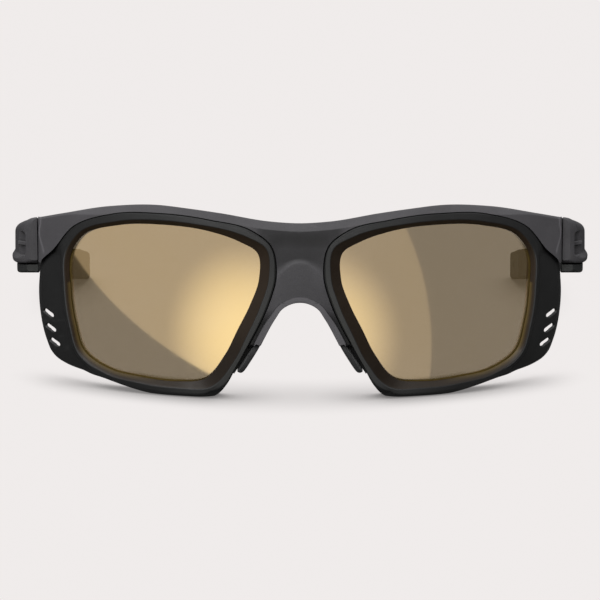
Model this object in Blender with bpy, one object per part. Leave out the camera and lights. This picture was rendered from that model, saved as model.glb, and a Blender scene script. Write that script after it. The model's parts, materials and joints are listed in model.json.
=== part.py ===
"""Glacier glasses: a wrapped grey front frame, two black rim modules with vented side shields,
gold mirror lenses, rubber nose pads and two folding temples.

Axes: +Z up, the front faces -Y, and +X is the wearer's left. Shapes are worked out in millimetres
in a design frame whose y = 0 is the front of the bridge, on the outward side X > 0, and each side
is that shape times its sign. The datum empty moves the whole object to the middle of its depth.
"""

import math

import bmesh
import bpy
import numpy as np
from mathutils import Vector

MM = 0.001
SMOOTH_ANGLE = math.radians(35.0)

# Sides: the wearer's right is at -X.
SIDES = {"right": -1.0, "left": 1.0}

# Whole object.
HALF_DEPTH = 74.94
GAP = 0.35

# The wrapped surface that the front, the rims and the lenses share.
WRAP_RADIUS = 78.0
WRAP_FLAT = 10.0
RAKE_RADIUS = 100.0
RAKE_ANGLE = math.radians(3.0)
RAKE_HEIGHT = 26.0

# Middle of a lens opening, from which the outlines are read by direction.
LENS_CENTRE = np.array([35.0, 24.0])

# Outlines in the front view: outward distance and height.
APERTURE = [
    (12.4, 24.9), (10.2, 31.5), (10.7, 38.3), (14.9, 40.8), (22.8, 43.3), (33.6, 44.3),
    (45.3, 43.3), (54.4, 39.8), (57.6, 35.2), (58.1, 25.5), (57.1, 16.9), (54.7, 9.1),
    (48.2, 5.3), (40.7, 4.2), (30.7, 3.8), (24.2, 4.8), (18.8, 11.5), (15.7, 18.0),
]
RIM_OUTLINE = [
    (7.8, 25.4), (5.9, 33.0), (7.4, 40.4), (12.0, 43.9), (22.3, 46.3), (34.5, 47.3),
    (46.7, 46.2), (57.0, 41.8), (62.4, 35.0), (65.8, 31.2), (66.7, 26.0), (66.72, 18.0),
    (65.0, 9.6), (63.95, 7.15), (62.5, 5.65), (60.0, 4.5), (56.4, 3.65), (51.6, 3.2),
    (44.2, 1.45), (36.0, -0.25), (28.5, -0.4), (21.6, -0.1), (18.4, 3.8), (15.6, 9.4),
    (12.8, 14.7), (9.9, 20.4),
]
BROW_TOP = [
    (0.0, 45.5), (7.4, 45.93), (19.8, 47.8), (27.3, 48.6), (36.0, 49.1), (47.6, 47.8),
    (60.7, 44.38), (66.65, 42.36),
]
NOSE_ARCH = [
    (0.0, 26.0), (2.2, 25.6), (4.4, 24.3), (6.1, 21.8), (8.7, 16.8), (9.75, 14.6),
]
NOSE_TONGUE = [(10.98, 15.0), (13.4, 11.2), (16.15, 6.8)]
ENDPIECE_SIDE = 66.65
ENDPIECE_FOOT = 31.0

# Rim section: depths behind the wrapped surface and widths across it.
APERTURE_DEPTH = 1.7
GROOVE_FRONT = 2.05
GROOVE_BACK = 4.45
GROOVE_WIDTH = 1.3
BACK_LIP = 0.5
RING_BACK = 5.6
REAR_RIM = 0.6
WALL = 1.3
SHEET = 1.6
SHIELD_STEP = 0.8
SHIELD_DEPTH = 5.8
BEVEL_THIN = 1.45
BEVEL_NOSE = 2.7
RING_SAMPLES = 56

# Lens.
LENS_OVERLAP = 1.0
LENS_FRONT = 2.35
LENS_THICKNESS = 1.8

# Side vents: centres in the front view, with the slots sloping down towards the nose.
VENT_CENTRES = [(63.8, 18.0), (63.3, 14.1), (62.3, 10.4)]
VENT_SLOPE = math.radians(27.0)
VENT_LENGTH = 3.1
VENT_WIDTH = 1.5
VENT_AIM = (0.07, 1.0, -0.22)
VENT_CUT = 15.0
VENT_PROUD = 3.0

# Front frame.
BROW_DEPTH = 7.2
NOSE_ARM_DEPTH = 7.4
ENDPIECE_BACK = 30.4
TOP_FALL = 0.24
CHAMFER = 1.65
FLANGE_WIDTH = 1.1
FLANGE_FRONT = 6.55
ARCH_LIP = 1.5

# Hinge.
HINGE_X = 64.25
HINGE_Y = 33.6
LUG_RADIUS = 2.3
LOWER_LUG = (31.4, 33.9)
KNUCKLE = (34.2, 37.4)
UPPER_LUG = (37.7, 40.2)
SCREW_RADIUS = 0.8
SCREW_HEAD = 1.3
SLOT_WIDTH = 0.3
SLOT_DEPTH = 0.3
SLEEVE_BORE = 1.0
SLEEVE_RADIUS = 1.4
SLEEVE_SEAT = 1.65
ROUND_SIDES = 20
SPAN_POINTS = 16

# Temple: y, inner side, outer side, bottom, top.
TEMPLE_STATIONS = [
    (27.2, 67.0, 68.9, 31.0, 41.85),
    (28.0, 67.0, 70.4, 30.3, 42.05),
    (29.6, 67.0, 72.2, 29.8, 41.7),
    (32.6, 67.0, 73.5, 29.4, 40.95),
    (38.5, 67.0, 74.25, 29.3, 39.3),
    (44.5, 66.9, 73.3, 28.4, 37.6),
    (52.0, 66.5, 71.4, 26.3, 35.4),
    (62.0, 66.0, 70.1, 23.0, 31.9),
    (75.0, 65.8, 69.7, 18.6, 27.2),
    (88.0, 65.5, 69.4, 14.8, 23.1),
    (97.0, 65.2, 69.1, 12.4, 20.5),
]
TIP_STATIONS = [
    (97.4, 65.2, 69.1, 12.3, 20.4),
    (104.0, 64.8, 68.8, 10.6, 18.6),
    (112.0, 64.2, 68.4, 8.6, 16.8),
    (123.0, 63.4, 67.7, 5.9, 14.3),
    (134.0, 62.6, 67.1, 3.3, 11.9),
    (142.0, 62.0, 66.8, 1.5, 9.9),
    (147.6, 61.6, 66.6, 0.2, 8.4),
    (148.8, 61.5, 66.6, -0.3, 8.1),
    (150.6, 61.4, 66.5, -0.3, 7.6),
]
COVER_STATIONS = [
    (28.6, 66.95, 69.8, 27.9, 29.6),
    (31.0, 66.95, 71.9, 27.0, 29.2),
    (36.0, 66.95, 72.9, 26.8, 28.95),
    (41.0, 67.2, 72.7, 26.8, 28.6),
    (46.5, 67.6, 71.6, 26.8, 27.5),
]
TEMPLE_SECTIONS = 20
TIP_SECTIONS = 17
CORNER_POINTS = 4

# Wire core between the arm and the tip.
CORE_RADIUS = 0.8
CORE_BORE = 1.1
CORE_START = 87.5
CORE_END = 112.0
CORD_HOLE = (143.5, 5.3)
CORD_RADIUS = 1.0

# Window on the temple bulge, with a level bar across it.
WINDOW_CENTRE = (71.45, 29.4, 35.0)
WINDOW_TURN = math.radians(25.0)
WINDOW_WIDTH = 3.2
WINDOW_HEIGHT = 6.0
WINDOW_RADIUS = 0.9
WINDOW_DEPTH = 1.6
BAR_HEIGHT = 1.2
BAR_RECESS = 0.35
BAR_LENGTH = 2.7

# Nose pad, as a leaf in the plane of the nose arm: distance along the arm, then depth.
PAD_LEAF = [
    (-1.1, 2.8), (-1.1, 7.4), (0.4, 10.2), (4.4, 10.9), (7.2, 12.4), (5.4, 14.6),
    (0.5, 15.4), (-5.2, 13.6), (-8.6, 9.4), (-9.4, 5.2), (-8.2, 2.4), (-4.5, 1.6),
]
PAD_TOP = np.array([9.75, 14.5])
PAD_FOOT = np.array([14.7, 6.6])
PAD_THICKNESS = 1.1
PAD_SPLAY = 0.03
PAD_STUD = (-3.2, 7.4)
STUD_RADIUS = 0.8


def smooth_path(points, closed, per_span=SPAN_POINTS):
    """A smooth curve through the points, whose tangents weigh the neighbouring spans."""
    points = np.asarray(points, float)
    count = len(points)
    after = np.roll(points, -1, axis=0) - points
    length = np.linalg.norm(after[:, :2], axis=1)
    slope = after / length[:, None]
    tangent = np.empty_like(points)
    for i in range(count):
        before = (i - 1) % count
        weighed = slope[before] * length[i] + slope[i] * length[before]
        tangent[i] = weighed / (length[i] + length[before])
    if not closed:
        tangent[0] = slope[0]
        tangent[-1] = slope[-2]
    steps = np.arange(per_span)[:, None] / per_span
    path = []
    for i in range(count if closed else count - 1):
        j = (i + 1) % count
        span = length[i]
        cubic = steps**3
        square = steps**2
        path.append(
            (2 * cubic - 3 * square + 1) * points[i]
            + (cubic - 2 * square + steps) * span * tangent[i]
            + (3 * square - 2 * cubic) * points[j]
            + (cubic - square) * span * tangent[j]
        )
    if not closed:
        path.append(points[-1:])
    return np.concatenate(path)


def smoothstep(value):
    value = np.clip(value, 0.0, 1.0)
    return value * value * (3.0 - 2.0 * value)


def wrap(x, z):
    """Depth of the wrapped surface at an outward distance and a height."""
    across = np.sqrt(x * x + WRAP_FLAT**2) - WRAP_FLAT
    curve = WRAP_RADIUS - np.sqrt(WRAP_RADIUS**2 - across * across)
    height = z - RAKE_HEIGHT
    return curve + height * height / (2 * RAKE_RADIUS) - height * math.tan(RAKE_ANGLE)


def directions(path):
    offset = path - LENS_CENTRE
    return np.arctan2(offset[:, 1], offset[:, 0]), np.hypot(offset[:, 0], offset[:, 1])


def reach_of(points):
    """The outline's distance from the lens centre, as a function of direction."""
    path = smooth_path(points, closed=True)
    path[:, 1] = np.maximum(path[:, 1], 0.0)
    angle, radius = directions(path)
    return lambda at: np.interp(at, angle, radius, period=2 * math.pi)


aperture_reach = reach_of(APERTURE)
rim_reach = reach_of(RIM_OUTLINE)


def ray(angle, distance):
    return LENS_CENTRE + distance * np.array([math.cos(angle), math.sin(angle)])


def aperture_angles(count):
    """Directions that are evenly spaced along the lens opening."""
    path = smooth_path(APERTURE, closed=True)
    path = np.concatenate([path, path[:1]])
    walked = np.concatenate([[0.0], np.cumsum(np.linalg.norm(np.diff(path, axis=0), axis=1))])
    angle = np.unwrap(directions(path)[0])
    return np.interp(np.arange(count) / count * walked[-1], walked, angle)


def bevel_width(angle):
    """The bevel round the lens is widest beside the nose."""
    turn = (angle - math.radians(188.0) + math.pi) % (2 * math.pi) - math.pi
    nose = smoothstep((math.radians(78.0) - abs(turn)) / math.radians(40.0))
    return BEVEL_THIN + (BEVEL_NOSE - BEVEL_THIN) * nose


def shield_depth(angle):
    """How much further back the side shield reaches, low on the outward side."""
    turn = math.degrees((angle + math.pi) % (2 * math.pi) - math.pi)
    return SHIELD_DEPTH * smoothstep((turn + 50.0) / 40.0) * smoothstep((9.0 - turn) / 35.0)


def rim_section(angle):
    """One closed section of ring and shield: points that run round it from the lens opening."""
    start = aperture_reach(angle)
    width = rim_reach(angle) - start
    bevel = bevel_width(angle)
    shield = smoothstep((width - bevel - 1.9) / 1.8)
    crown = (1 - shield) * 0.55 * (width - bevel) + shield * 0.75
    step = 0.08 + shield * SHIELD_STEP
    wall_end = RING_BACK + REAR_RIM + shield_depth(angle)
    sheet_back = (1 - shield) * (RING_BACK - 0.5) + shield * (step + SHEET)
    body = (1 - shield) * (width - WALL - 0.35) + shield * (bevel + crown + 0.7)
    across_and_depth = [
        (0.0, APERTURE_DEPTH),
        (bevel - 0.35, 0.3),
        (bevel, 0.0),
        (bevel + crown, 0.06),
        (bevel + crown + 0.25, step),
        (width - 0.15 - 0.65 * shield, step + 0.04 + 0.56 * shield),
        (width, step + 0.3 + 1.8 * shield),
        (width, wall_end),
        (width - WALL, wall_end),
        (width - WALL, sheet_back),
        (body, sheet_back),
        (body, RING_BACK),
        (BACK_LIP, RING_BACK),
        (BACK_LIP, GROOVE_BACK),
        (GROOVE_WIDTH, GROOVE_BACK),
        (GROOVE_WIDTH, GROOVE_FRONT),
        (0.0, GROOVE_FRONT),
    ]
    section = []
    for across, depth in across_and_depth:
        x, z = ray(angle, start + across)
        section.append((x, wrap(x, z) + depth, z))
    return section


def loft(sections, closed):
    """A skin over sections of equal count. An open skin gets a flat cap at each end."""
    sections = np.asarray(sections, float)
    count, around = sections.shape[:2]
    faces = []
    for i in range(count if closed else count - 1):
        j = (i + 1) % count
        for k in range(around):
            m = (k + 1) % around
            faces.append((i * around + k, i * around + m, j * around + m, j * around + k))
    if not closed:
        faces.append(tuple(range(around)))
        faces.append(tuple(range((count - 1) * around, count * around)))
    return sections.reshape(-1, 3), faces


def add_empty(name, place, parent=None):
    empty = bpy.data.objects.new(name, None)
    bpy.context.collection.objects.link(empty)
    empty.location = Vector(place) * MM
    empty.empty_display_size = 5 * MM
    empty.parent = parent
    empty["design_place"] = [float(value) for value in place]
    return empty


def add_solid(name, skin, parent, material=None, side=1.0):
    """A mesh object from millimetre points, held by an empty, with its faces pointing out."""
    points, faces = skin
    origin = np.array(parent["design_place"][:])
    points = np.asarray(points, float) * [side, 1.0, 1.0] - origin
    mesh = bpy.data.meshes.new(name)
    mesh.from_pydata((points * MM).tolist(), [], faces)
    body = bmesh.new()
    body.from_mesh(mesh)
    bmesh.ops.recalc_face_normals(body, faces=body.faces)
    body.to_mesh(mesh)
    body.free()
    mesh.shade_smooth()
    mesh.set_sharp_from_angle(angle=SMOOTH_ANGLE)
    solid = bpy.data.objects.new(name, mesh)
    bpy.context.collection.objects.link(solid)
    solid.parent = parent
    if material:
        mesh.materials.append(material)
    return solid


def combine(target, tool, operation):
    """Joins a tool to a solid or cuts it away, and hides the tool."""
    tool.hide_render = True
    tool.display_type = "WIRE"
    change = target.modifiers.new(tool.name, "BOOLEAN")
    change.operation = operation
    change.solver = "EXACT"
    change.object = tool


def round_ring(centre, axis, radius, sides):
    """Points of a circle round an axis."""
    axis = Vector(axis).normalized()
    first = axis.orthogonal().normalized()
    second = axis.cross(first)
    ring = []
    for i in range(sides):
        turn = 2 * math.pi * i / sides
        ring.append(Vector(centre) + radius * (math.cos(turn) * first + math.sin(turn) * second))
    return ring


def rod(start, end, radius, sides=ROUND_SIDES):
    axis = Vector(end) - Vector(start)
    return loft([round_ring(start, axis, radius, sides), round_ring(end, axis, radius, sides)], False)


def upright(bottom, top, radius):
    """A cylinder on the hinge axis."""
    return rod((HINGE_X, HINGE_Y, bottom), (HINGE_X, HINGE_Y, top), radius)


def block(low, high):
    (x0, y0, z0), (x1, y1, z1) = low, high
    return loft(
        [
            [(x0, y0, z0), (x1, y0, z0), (x1, y1, z0), (x0, y1, z0)],
            [(x0, y0, z1), (x1, y0, z1), (x1, y1, z1), (x0, y1, z1)],
        ],
        False,
    )


def turned(profile):
    """A closed ring turned round the hinge axis from (radius, height) points."""
    sections = []
    for i in range(ROUND_SIDES):
        turn = 2 * math.pi * i / ROUND_SIDES
        sections.append(
            [
                (HINGE_X + radius * math.cos(turn), HINGE_Y + radius * math.sin(turn), height)
                for radius, height in profile
            ]
        )
    return loft(sections, True)


def rounded_bar(centre, along, through, length, width, radius, depth, points=5):
    """A straight bar whose cross section is a rectangle with round corners."""
    along = Vector(along).normalized()
    through = Vector(through).normalized()
    across = through.cross(along)
    outline = []
    for quarter, (end, flank) in enumerate([(1, 1), (-1, 1), (-1, -1), (1, -1)]):
        for i in range(points):
            turn = math.pi / 2 * (quarter + i / (points - 1))
            outline.append(
                (end * (length / 2 - radius) + radius * math.cos(turn)) * along
                + (flank * (width / 2 - radius) + radius * math.sin(turn)) * across
            )
    middle = Vector(centre)
    near = [middle + point - through * depth / 2 for point in outline]
    far = [middle + point + through * depth / 2 for point in outline]
    return loft([near, far], False)


def add_material(name, colour, roughness, metallic=0.0):
    material = bpy.data.materials.new(name)
    material.use_nodes = True
    shader = material.node_tree.nodes["Principled BSDF"]
    shader.inputs["Base Color"].default_value = (*colour, 1.0)
    shader.inputs["Roughness"].default_value = roughness
    shader.inputs["Metallic"].default_value = metallic
    return material


# Front frame -----------------------------------------------------------------------------------


def half_path(points):
    """The outward half of a smooth curve that crosses the centre plane level."""
    mirrored = [(-x, z) for x, z in points[:0:-1]]
    path = smooth_path(mirrored + list(points), closed=False)
    return path[-SPAN_POINTS * (len(points) - 1) - 1:]


def straight(start, end, count=24):
    steps = np.linspace(0.0, 1.0, count)[:, None]
    return np.asarray(start) * (1 - steps) + np.asarray(end) * steps


def direction_to(point):
    angle = math.atan2(point[1] - LENS_CENTRE[1], point[0] - LENS_CENTRE[0])
    return angle % (2 * math.pi)


def frame_stations(stretches, counts):
    """Pairs of a direction to the rim seam and an outer edge point, even along each stretch."""
    stations = []
    for path, count in zip(stretches, counts):
        walked = np.concatenate([[0.0], np.cumsum(np.linalg.norm(np.diff(path, axis=0), axis=1))])
        shares = np.linspace(0.0, 1.0, count + 1)[bool(stations):]
        start, end = direction_to(path[0]), direction_to(path[-1])
        for share in shares:
            outer = [np.interp(share * walked[-1], walked, path[:, axis]) for axis in (0, 1)]
            stations.append((start + (end - start) * share, np.array(outer)))
    return stations


def frame_stretches():
    """The frame's edge away from the lens, from the endpiece over the brow to the nose arm."""
    crease = (0.0, BROW_TOP[0][1] - CHAMFER)
    return [
        straight((ENDPIECE_SIDE, ENDPIECE_FOOT), BROW_TOP[-1]),
        half_path(BROW_TOP)[::-1],
        straight(BROW_TOP[0], crease),
        straight(crease, NOSE_ARCH[0]),
        half_path(NOSE_ARCH),
        straight(NOSE_ARCH[-1], NOSE_TONGUE[0]),
        np.array(NOSE_TONGUE),
    ]


def bridge_relief(x, z):
    """The scoop under the brow and the dome above the nose arch."""
    near = 1.0 - smoothstep((x - 7.0) / 4.0)
    dome_top = 36.6 - 0.045 * x * x
    scoop = 1.5 * smoothstep((43.6 - z) / 5.5)
    in_dome = smoothstep((dome_top + 0.6 - z) / 1.4)
    dome = 0.1 - 0.085 * np.clip(dome_top - z, 0.0, 12.0)
    return near * ((1 - in_dome) * scoop + in_dome * dome)


def frame_front(x, z, from_seam, brow, arch):
    """Depth of the frame's front face, with the slanted brow and the lip along the nose arch."""
    below_brow = np.interp(x, brow[:, 0], brow[:, 1]) - z
    to_arch = np.min(np.hypot(arch[:, 0] - x, arch[:, 1] - z))
    depth = wrap(x, z)
    depth += max(0.0, CHAMFER - below_brow)
    depth += 0.8 * max(0.0, ARCH_LIP - to_arch)
    depth += 0.5 * max(0.0, 1.0 - from_seam / 0.6) ** 2
    depth += bridge_relief(x, z)
    depth += 2.6 * smoothstep((14.6 - z) / 1.2)
    return depth


def frame_back(x, z, share):
    """A point of the frame's back, whose top falls away. Towards the hinge the back is flat."""
    front = wrap(x, z)
    depth = front + BROW_DEPTH + (NOSE_ARM_DEPTH - BROW_DEPTH) * smoothstep((30.0 - z) / 8.0)
    endpiece = smoothstep((x - 48.0) / 10.0)
    depth = (1 - endpiece) * depth + endpiece * ENDPIECE_BACK
    drop = share * TOP_FALL * (depth - front) * smoothstep((z - 38.0) / 6.0)
    return (x, depth, z - drop)


def frame_flange(angle, x, z):
    """Three points of the thin flange behind the rim, which fades out towards the endpiece."""
    width = max(0.05, FLANGE_WIDTH * smoothstep((54.0 - x) / 8.0))
    lip_x, lip_z = ray(angle, rim_reach(angle) + GAP - width)
    lip_back = frame_back(lip_x, lip_z, 0.0)
    lip_front = (lip_x, min(wrap(lip_x, lip_z) + FLANGE_FRONT, lip_back[1] - 0.4), lip_z)
    root = (x, min(wrap(x, z) + FLANGE_FRONT, frame_back(x, z, 0.0)[1] - 0.4), z)
    return [lip_back, lip_front, root]


def crease_share(inner, outer, brow):
    """Where a ray crosses the crease under the slanted brow, or the one beside the nose arch."""
    if outer[0] > 0.0 and outer[1] < NOSE_ARCH[0][1]:
        share = 1.0 - ARCH_LIP / np.linalg.norm(outer - inner)
    else:
        shares = np.linspace(0.0, 1.0, 60)
        along = inner + (outer - inner) * shares[:, None]
        below = np.interp(along[:, 0], brow[:, 0], brow[:, 1]) - along[:, 1]
        crossed = shares[below < CHAMFER]
        share = crossed[0] if len(crossed) else 1.0
    return float(np.clip(share, 0.3, 0.95))


def row_shares(crease, below, above):
    """Rows from the rim seam to the crease, and from the crease to the frame's edge."""
    return [share * crease for share in below] + [crease + share * (1.0 - crease) for share in above]


def frame_skin(counts, rows_below, rows_above, back_rows):
    """Both halves of the frame as one skin that is welded on the centre plane."""
    brow = half_path(BROW_TOP)
    arch = half_path(NOSE_ARCH + [(14.4, 6.0)])
    points = []
    for angle, outer in frame_stations(frame_stretches(), counts):
        inner = ray(angle, rim_reach(angle) + GAP)
        if abs(outer[0]) < 1e-6:
            outer[0] = 0.0
        width = np.linalg.norm(outer - inner)
        section = []
        crease = crease_share(inner, outer, brow)
        for share in row_shares(crease, rows_below, rows_above):
            x, z = inner + (outer - inner) * share
            section.append((x, frame_front(x, z, share * width, brow, arch), z))
        for share in back_rows:
            x, z = inner + (outer - inner) * share
            section.append(frame_back(x, z, share))
        section += frame_flange(angle, *inner)
        points.append(section)
    front_count = len(rows_below) + len(rows_above)
    around = len(points[0])
    half_points, half_faces = loft(points, False)
    last = front_count - 1
    kept = []
    for face in half_faces:
        outer_wall = len(face) == 4 and {index % around for index in face} == {last, last + 1}
        on_centre = all(half_points[index][0] == 0.0 for index in face)
        if not (outer_wall and on_centre):
            kept.append(face)
    total = len(half_points)
    mirrored = []
    twin = {}
    for index, (x, y, z) in enumerate(half_points):
        if x == 0.0:
            twin[index] = index
        else:
            twin[index] = total + len(mirrored)
            mirrored.append((-x, y, z))
    faces = kept + [tuple(twin[index] for index in reversed(face)) for face in kept]
    return np.concatenate([half_points, mirrored]), faces


def add_front_frame(datum, material):
    skin = frame_skin([3, 15, 1, 8, 12, 2, 3], [0.0, 0.08, 0.35, 0.7, 1.0], [0.5, 1.0], [1.0, 0.5, 0.0])
    frame = add_solid("front_frame", skin, datum, material)
    for side_name, side in SIDES.items():
        for lug_name, (bottom, top) in (("lower_lug", LOWER_LUG), ("upper_lug", UPPER_LUG)):
            barrel = add_solid(f"{lug_name}_{side_name}", upright(bottom, top, LUG_RADIUS), datum, side=side)
            web = block(
                (HINGE_X - LUG_RADIUS, ENDPIECE_BACK - 0.3, bottom),
                (HINGE_X + LUG_RADIUS, HINGE_Y, top),
            )
            web = add_solid(f"{lug_name}_web_{side_name}", web, datum, side=side)
            combine(barrel, web, "UNION")
            combine(frame, barrel, "UNION")
        bores = {
            "screw_hole": upright(LOWER_LUG[0] - 1, LOWER_LUG[1] + 0.1, SLEEVE_BORE + 0.1),
            "head_recess": upright(LOWER_LUG[0] - 1, LOWER_LUG[0] + 1.0, SLEEVE_SEAT),
            "insert_seat": upright(UPPER_LUG[0] - 0.1, UPPER_LUG[1] - 0.5, SLEEVE_SEAT),
            "pad_hole": rod(pad_point(*PAD_STUD, -3.0), pad_point(*PAD_STUD, 1.0), STUD_RADIUS + 0.3),
        }
        for name, skin in bores.items():
            combine(frame, add_solid(f"{name}_{side_name}", skin, datum, side=side), "DIFFERENCE")
    return frame


# Rim modules -----------------------------------------------------------------------------------


def add_rim(side_name, side, pod, material):
    sections = [rim_section(angle) for angle in aperture_angles(RING_SAMPLES)]
    rim = add_solid(f"rim_shield_{side_name}", loft(sections, True), pod, material, side)
    for number, (x, z) in enumerate(VENT_CENTRES):
        mouth = Vector((x, wrap(x, z) + SHIELD_STEP, z))
        middle = mouth + Vector(VENT_AIM) * (VENT_CUT / 2 - VENT_PROUD)
        along = Vector((-math.cos(VENT_SLOPE), 0.0, -math.sin(VENT_SLOPE)))
        aim = Vector(VENT_AIM).normalized()
        along -= aim * along.dot(aim)
        radius = 0.49 * VENT_WIDTH
        skin = rounded_bar(middle, along, aim, VENT_LENGTH, VENT_WIDTH, radius, VENT_CUT)
        vent = add_solid(f"vent_{number}_{side_name}", skin, pod, side=side)
        combine(rim, vent, "DIFFERENCE")
    return rim


def lens_skin(angles, shares):
    """A curved plate with a front and a back grid that close at the edge."""
    points = []
    faces = []
    count = len(angles)
    for depth in (LENS_FRONT, LENS_FRONT + LENS_THICKNESS):
        x, z = LENS_CENTRE
        points.append((x, wrap(x, z) + depth, z))
        for share in shares:
            for angle in angles:
                x, z = ray(angle, share * (aperture_reach(angle) + LENS_OVERLAP))
                points.append((x, wrap(x, z) + depth, z))
    size = 1 + len(shares) * count
    for k in range(count):
        m = (k + 1) % count
        faces.append((0, 1 + k, 1 + m))
        faces.append((size, size + 1 + m, size + 1 + k))
        for row in range(len(shares) - 1):
            a = 1 + row * count
            b = a + count
            faces.append((a + k, b + k, b + m, a + m))
            faces.append((size + a + k, size + a + m, size + b + m, size + b + k))
        rim = 1 + (len(shares) - 1) * count
        faces.append((rim + k, size + rim + k, size + rim + m, rim + m))
    return points, faces


def add_lens(side_name, side, pod, material):
    skin = lens_skin(aperture_angles(RING_SAMPLES), (0.35, 0.65, 0.88, 1.0))
    return add_solid(f"lens_{side_name}", skin, pod, material, side)


# Nose pads -------------------------------------------------------------------------------------


def pad_point(along, depth, inward):
    """A point of the nose pad: along the nose arm, behind the front, and in from its nose face."""
    upwards = (PAD_TOP - PAD_FOOT) / np.linalg.norm(PAD_TOP - PAD_FOOT)
    towards_lens = np.array([upwards[1], -upwards[0]])
    splay = PAD_SPLAY * max(0.0, depth - 8.0) ** 2
    x, z = PAD_TOP + upwards * along + towards_lens * (splay - inward)
    return (x, depth, z)


def add_nose_pad(side_name, side, datum, material):
    leaf = smooth_path(PAD_LEAF, closed=True, per_span=3)
    middle = leaf.mean(axis=0)
    rings = [
        (0.04, -PAD_THICKNESS), (0.45, -PAD_THICKNESS), (0.86, -PAD_THICKNESS),
        (1.0, -PAD_THICKNESS + 0.4), (1.0, -0.5), (0.84, 0.0), (0.45, 0.0), (0.04, 0.0),
    ]
    sections = []
    for scale, inward in rings:
        sections.append([pad_point(*(middle + (point - middle) * scale), inward) for point in leaf])
    pad = add_solid(f"nose_pad_{side_name}", loft(sections, False), datum, material, side)
    stud = rod(pad_point(*PAD_STUD, -PAD_THICKNESS - 0.9), pad_point(*PAD_STUD, -0.8), STUD_RADIUS, 12)
    combine(pad, add_solid(f"pad_stud_{side_name}", stud, datum, side=side), "UNION")
    return pad


# Temples ---------------------------------------------------------------------------------------


def rounded_section(y, x0, x1, z0, z1, radii, points=CORNER_POINTS):
    """A rectangle with its own radius at each corner: inner foot, outer foot, outer top, inner top."""
    z0 = max(z0, 0.0)
    limit = 0.48 * min(x1 - x0, z1 - z0)
    corners = [(x0, z0, 1, 1, 180), (x1, z0, -1, 1, 270), (x1, z1, -1, -1, 0), (x0, z1, 1, -1, 90)]
    section = []
    for (x, z, inward, upward, start), radius in zip(corners, radii):
        radius = min(radius, limit)
        for i in range(points):
            turn = math.radians(start + 90.0 * i / (points - 1))
            section.append(
                (
                    x + inward * radius + radius * math.cos(turn),
                    y,
                    z + upward * radius + radius * math.sin(turn),
                )
            )
    return section


def station_sections(stations, count, radii):
    table = smooth_path(stations, closed=False)
    depths = np.interp(np.linspace(0, 1, count), np.linspace(0, 1, len(stations)), np.array(stations)[:, 0])
    sections = []
    for y in depths:
        row = [np.interp(y, table[:, 0], table[:, column]) for column in range(1, 5)]
        sections.append(rounded_section(y, *row, radii))
    return sections


def core_line(y):
    """Middle of the arm near the joint between the arm and the tip, as a straight line."""
    start = np.array([67.35, 88.0, 19.0])
    end = np.array([66.25, 112.0, 12.55])
    return Vector(start + (end - start) * (y - start[1]) / (end[1] - start[1]))


def window_skins():
    """The window's cutter, and the bar that is put back across the middle of it."""
    outward = Vector((math.sin(WINDOW_TURN), -math.cos(WINDOW_TURN), 0.0))
    level = Vector((math.cos(WINDOW_TURN), math.sin(WINDOW_TURN), 0.0))
    surface = Vector(WINDOW_CENTRE)
    proud = 2.0
    middle = surface + outward * (proud - WINDOW_DEPTH) / 2
    cutter = rounded_bar(
        middle, (0, 0, 1), outward, WINDOW_HEIGHT, WINDOW_WIDTH, WINDOW_RADIUS, WINDOW_DEPTH + proud
    )
    middle = surface - outward * (BAR_RECESS + WINDOW_DEPTH + 0.2) / 2
    middle -= level * (WINDOW_WIDTH / 2 + 0.2 - BAR_LENGTH / 2)
    bar = rounded_bar(
        middle, outward, level, WINDOW_DEPTH + 0.2 - BAR_RECESS, BAR_HEIGHT, 0.3, BAR_LENGTH
    )
    return cutter, bar


def add_temple(side_name, side, pivot, material):
    sections = station_sections(TEMPLE_STATIONS, TEMPLE_SECTIONS, (0.8, 1.2, 2.6, 1.2))
    temple = add_solid(f"temple_{side_name}", loft(sections, False), pivot, material, side)
    knuckle = add_solid(f"knuckle_{side_name}", upright(*KNUCKLE, LUG_RADIUS), pivot, side=side)
    tongue = block((HINGE_X, HINGE_Y - 1.9, KNUCKLE[0]), (69.0, HINGE_Y + LUG_RADIUS, KNUCKLE[1]))
    combine(knuckle, add_solid(f"tongue_{side_name}", tongue, pivot, side=side), "UNION")
    combine(temple, knuckle, "UNION")
    cuts = {"bush_seat": upright(KNUCKLE[0] - 1, KNUCKLE[1] + 1, SLEEVE_SEAT)}
    cuts["core_bore"] = rod(core_line(CORE_START), core_line(99.0), CORE_BORE, 12)
    cuts["window"], bar = window_skins()
    for name, skin in cuts.items():
        combine(temple, add_solid(f"{name}_{side_name}", skin, pivot, side=side), "DIFFERENCE")
    combine(temple, add_solid(f"window_bar_{side_name}", bar, pivot, side=side), "UNION")
    return temple


def add_temple_tip(side_name, side, pivot, material):
    sections = station_sections(TIP_STATIONS, TIP_SECTIONS, (0.8, 0.8, 1.0, 1.0))
    tip = add_solid(f"temple_tip_{side_name}", loft(sections, False), pivot, material, side)
    y, z = CORD_HOLE
    cuts = {
        "tip_bore": rod(core_line(96.0), core_line(CORE_END + 0.4), CORE_BORE, 12),
        "cord_hole": rod((58.0, y, z), (70.0, y, z), CORD_RADIUS, 16),
    }
    for name, skin in cuts.items():
        combine(tip, add_solid(f"{name}_{side_name}", skin, pivot, side=side), "DIFFERENCE")
    return tip


def add_hinge_cover(side_name, side, pivot, material):
    sections = station_sections(COVER_STATIONS, 9, (0.3, 0.6, 0.4, 0.3))
    cover = add_solid(f"hinge_cover_{side_name}", loft(sections, False), pivot, material, side)
    groove = block((67.6, 31.6, 26.0), (74.0, 32.0, 27.5))
    combine(cover, add_solid(f"cover_groove_{side_name}", groove, pivot, side=side), "DIFFERENCE")
    return cover


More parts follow.
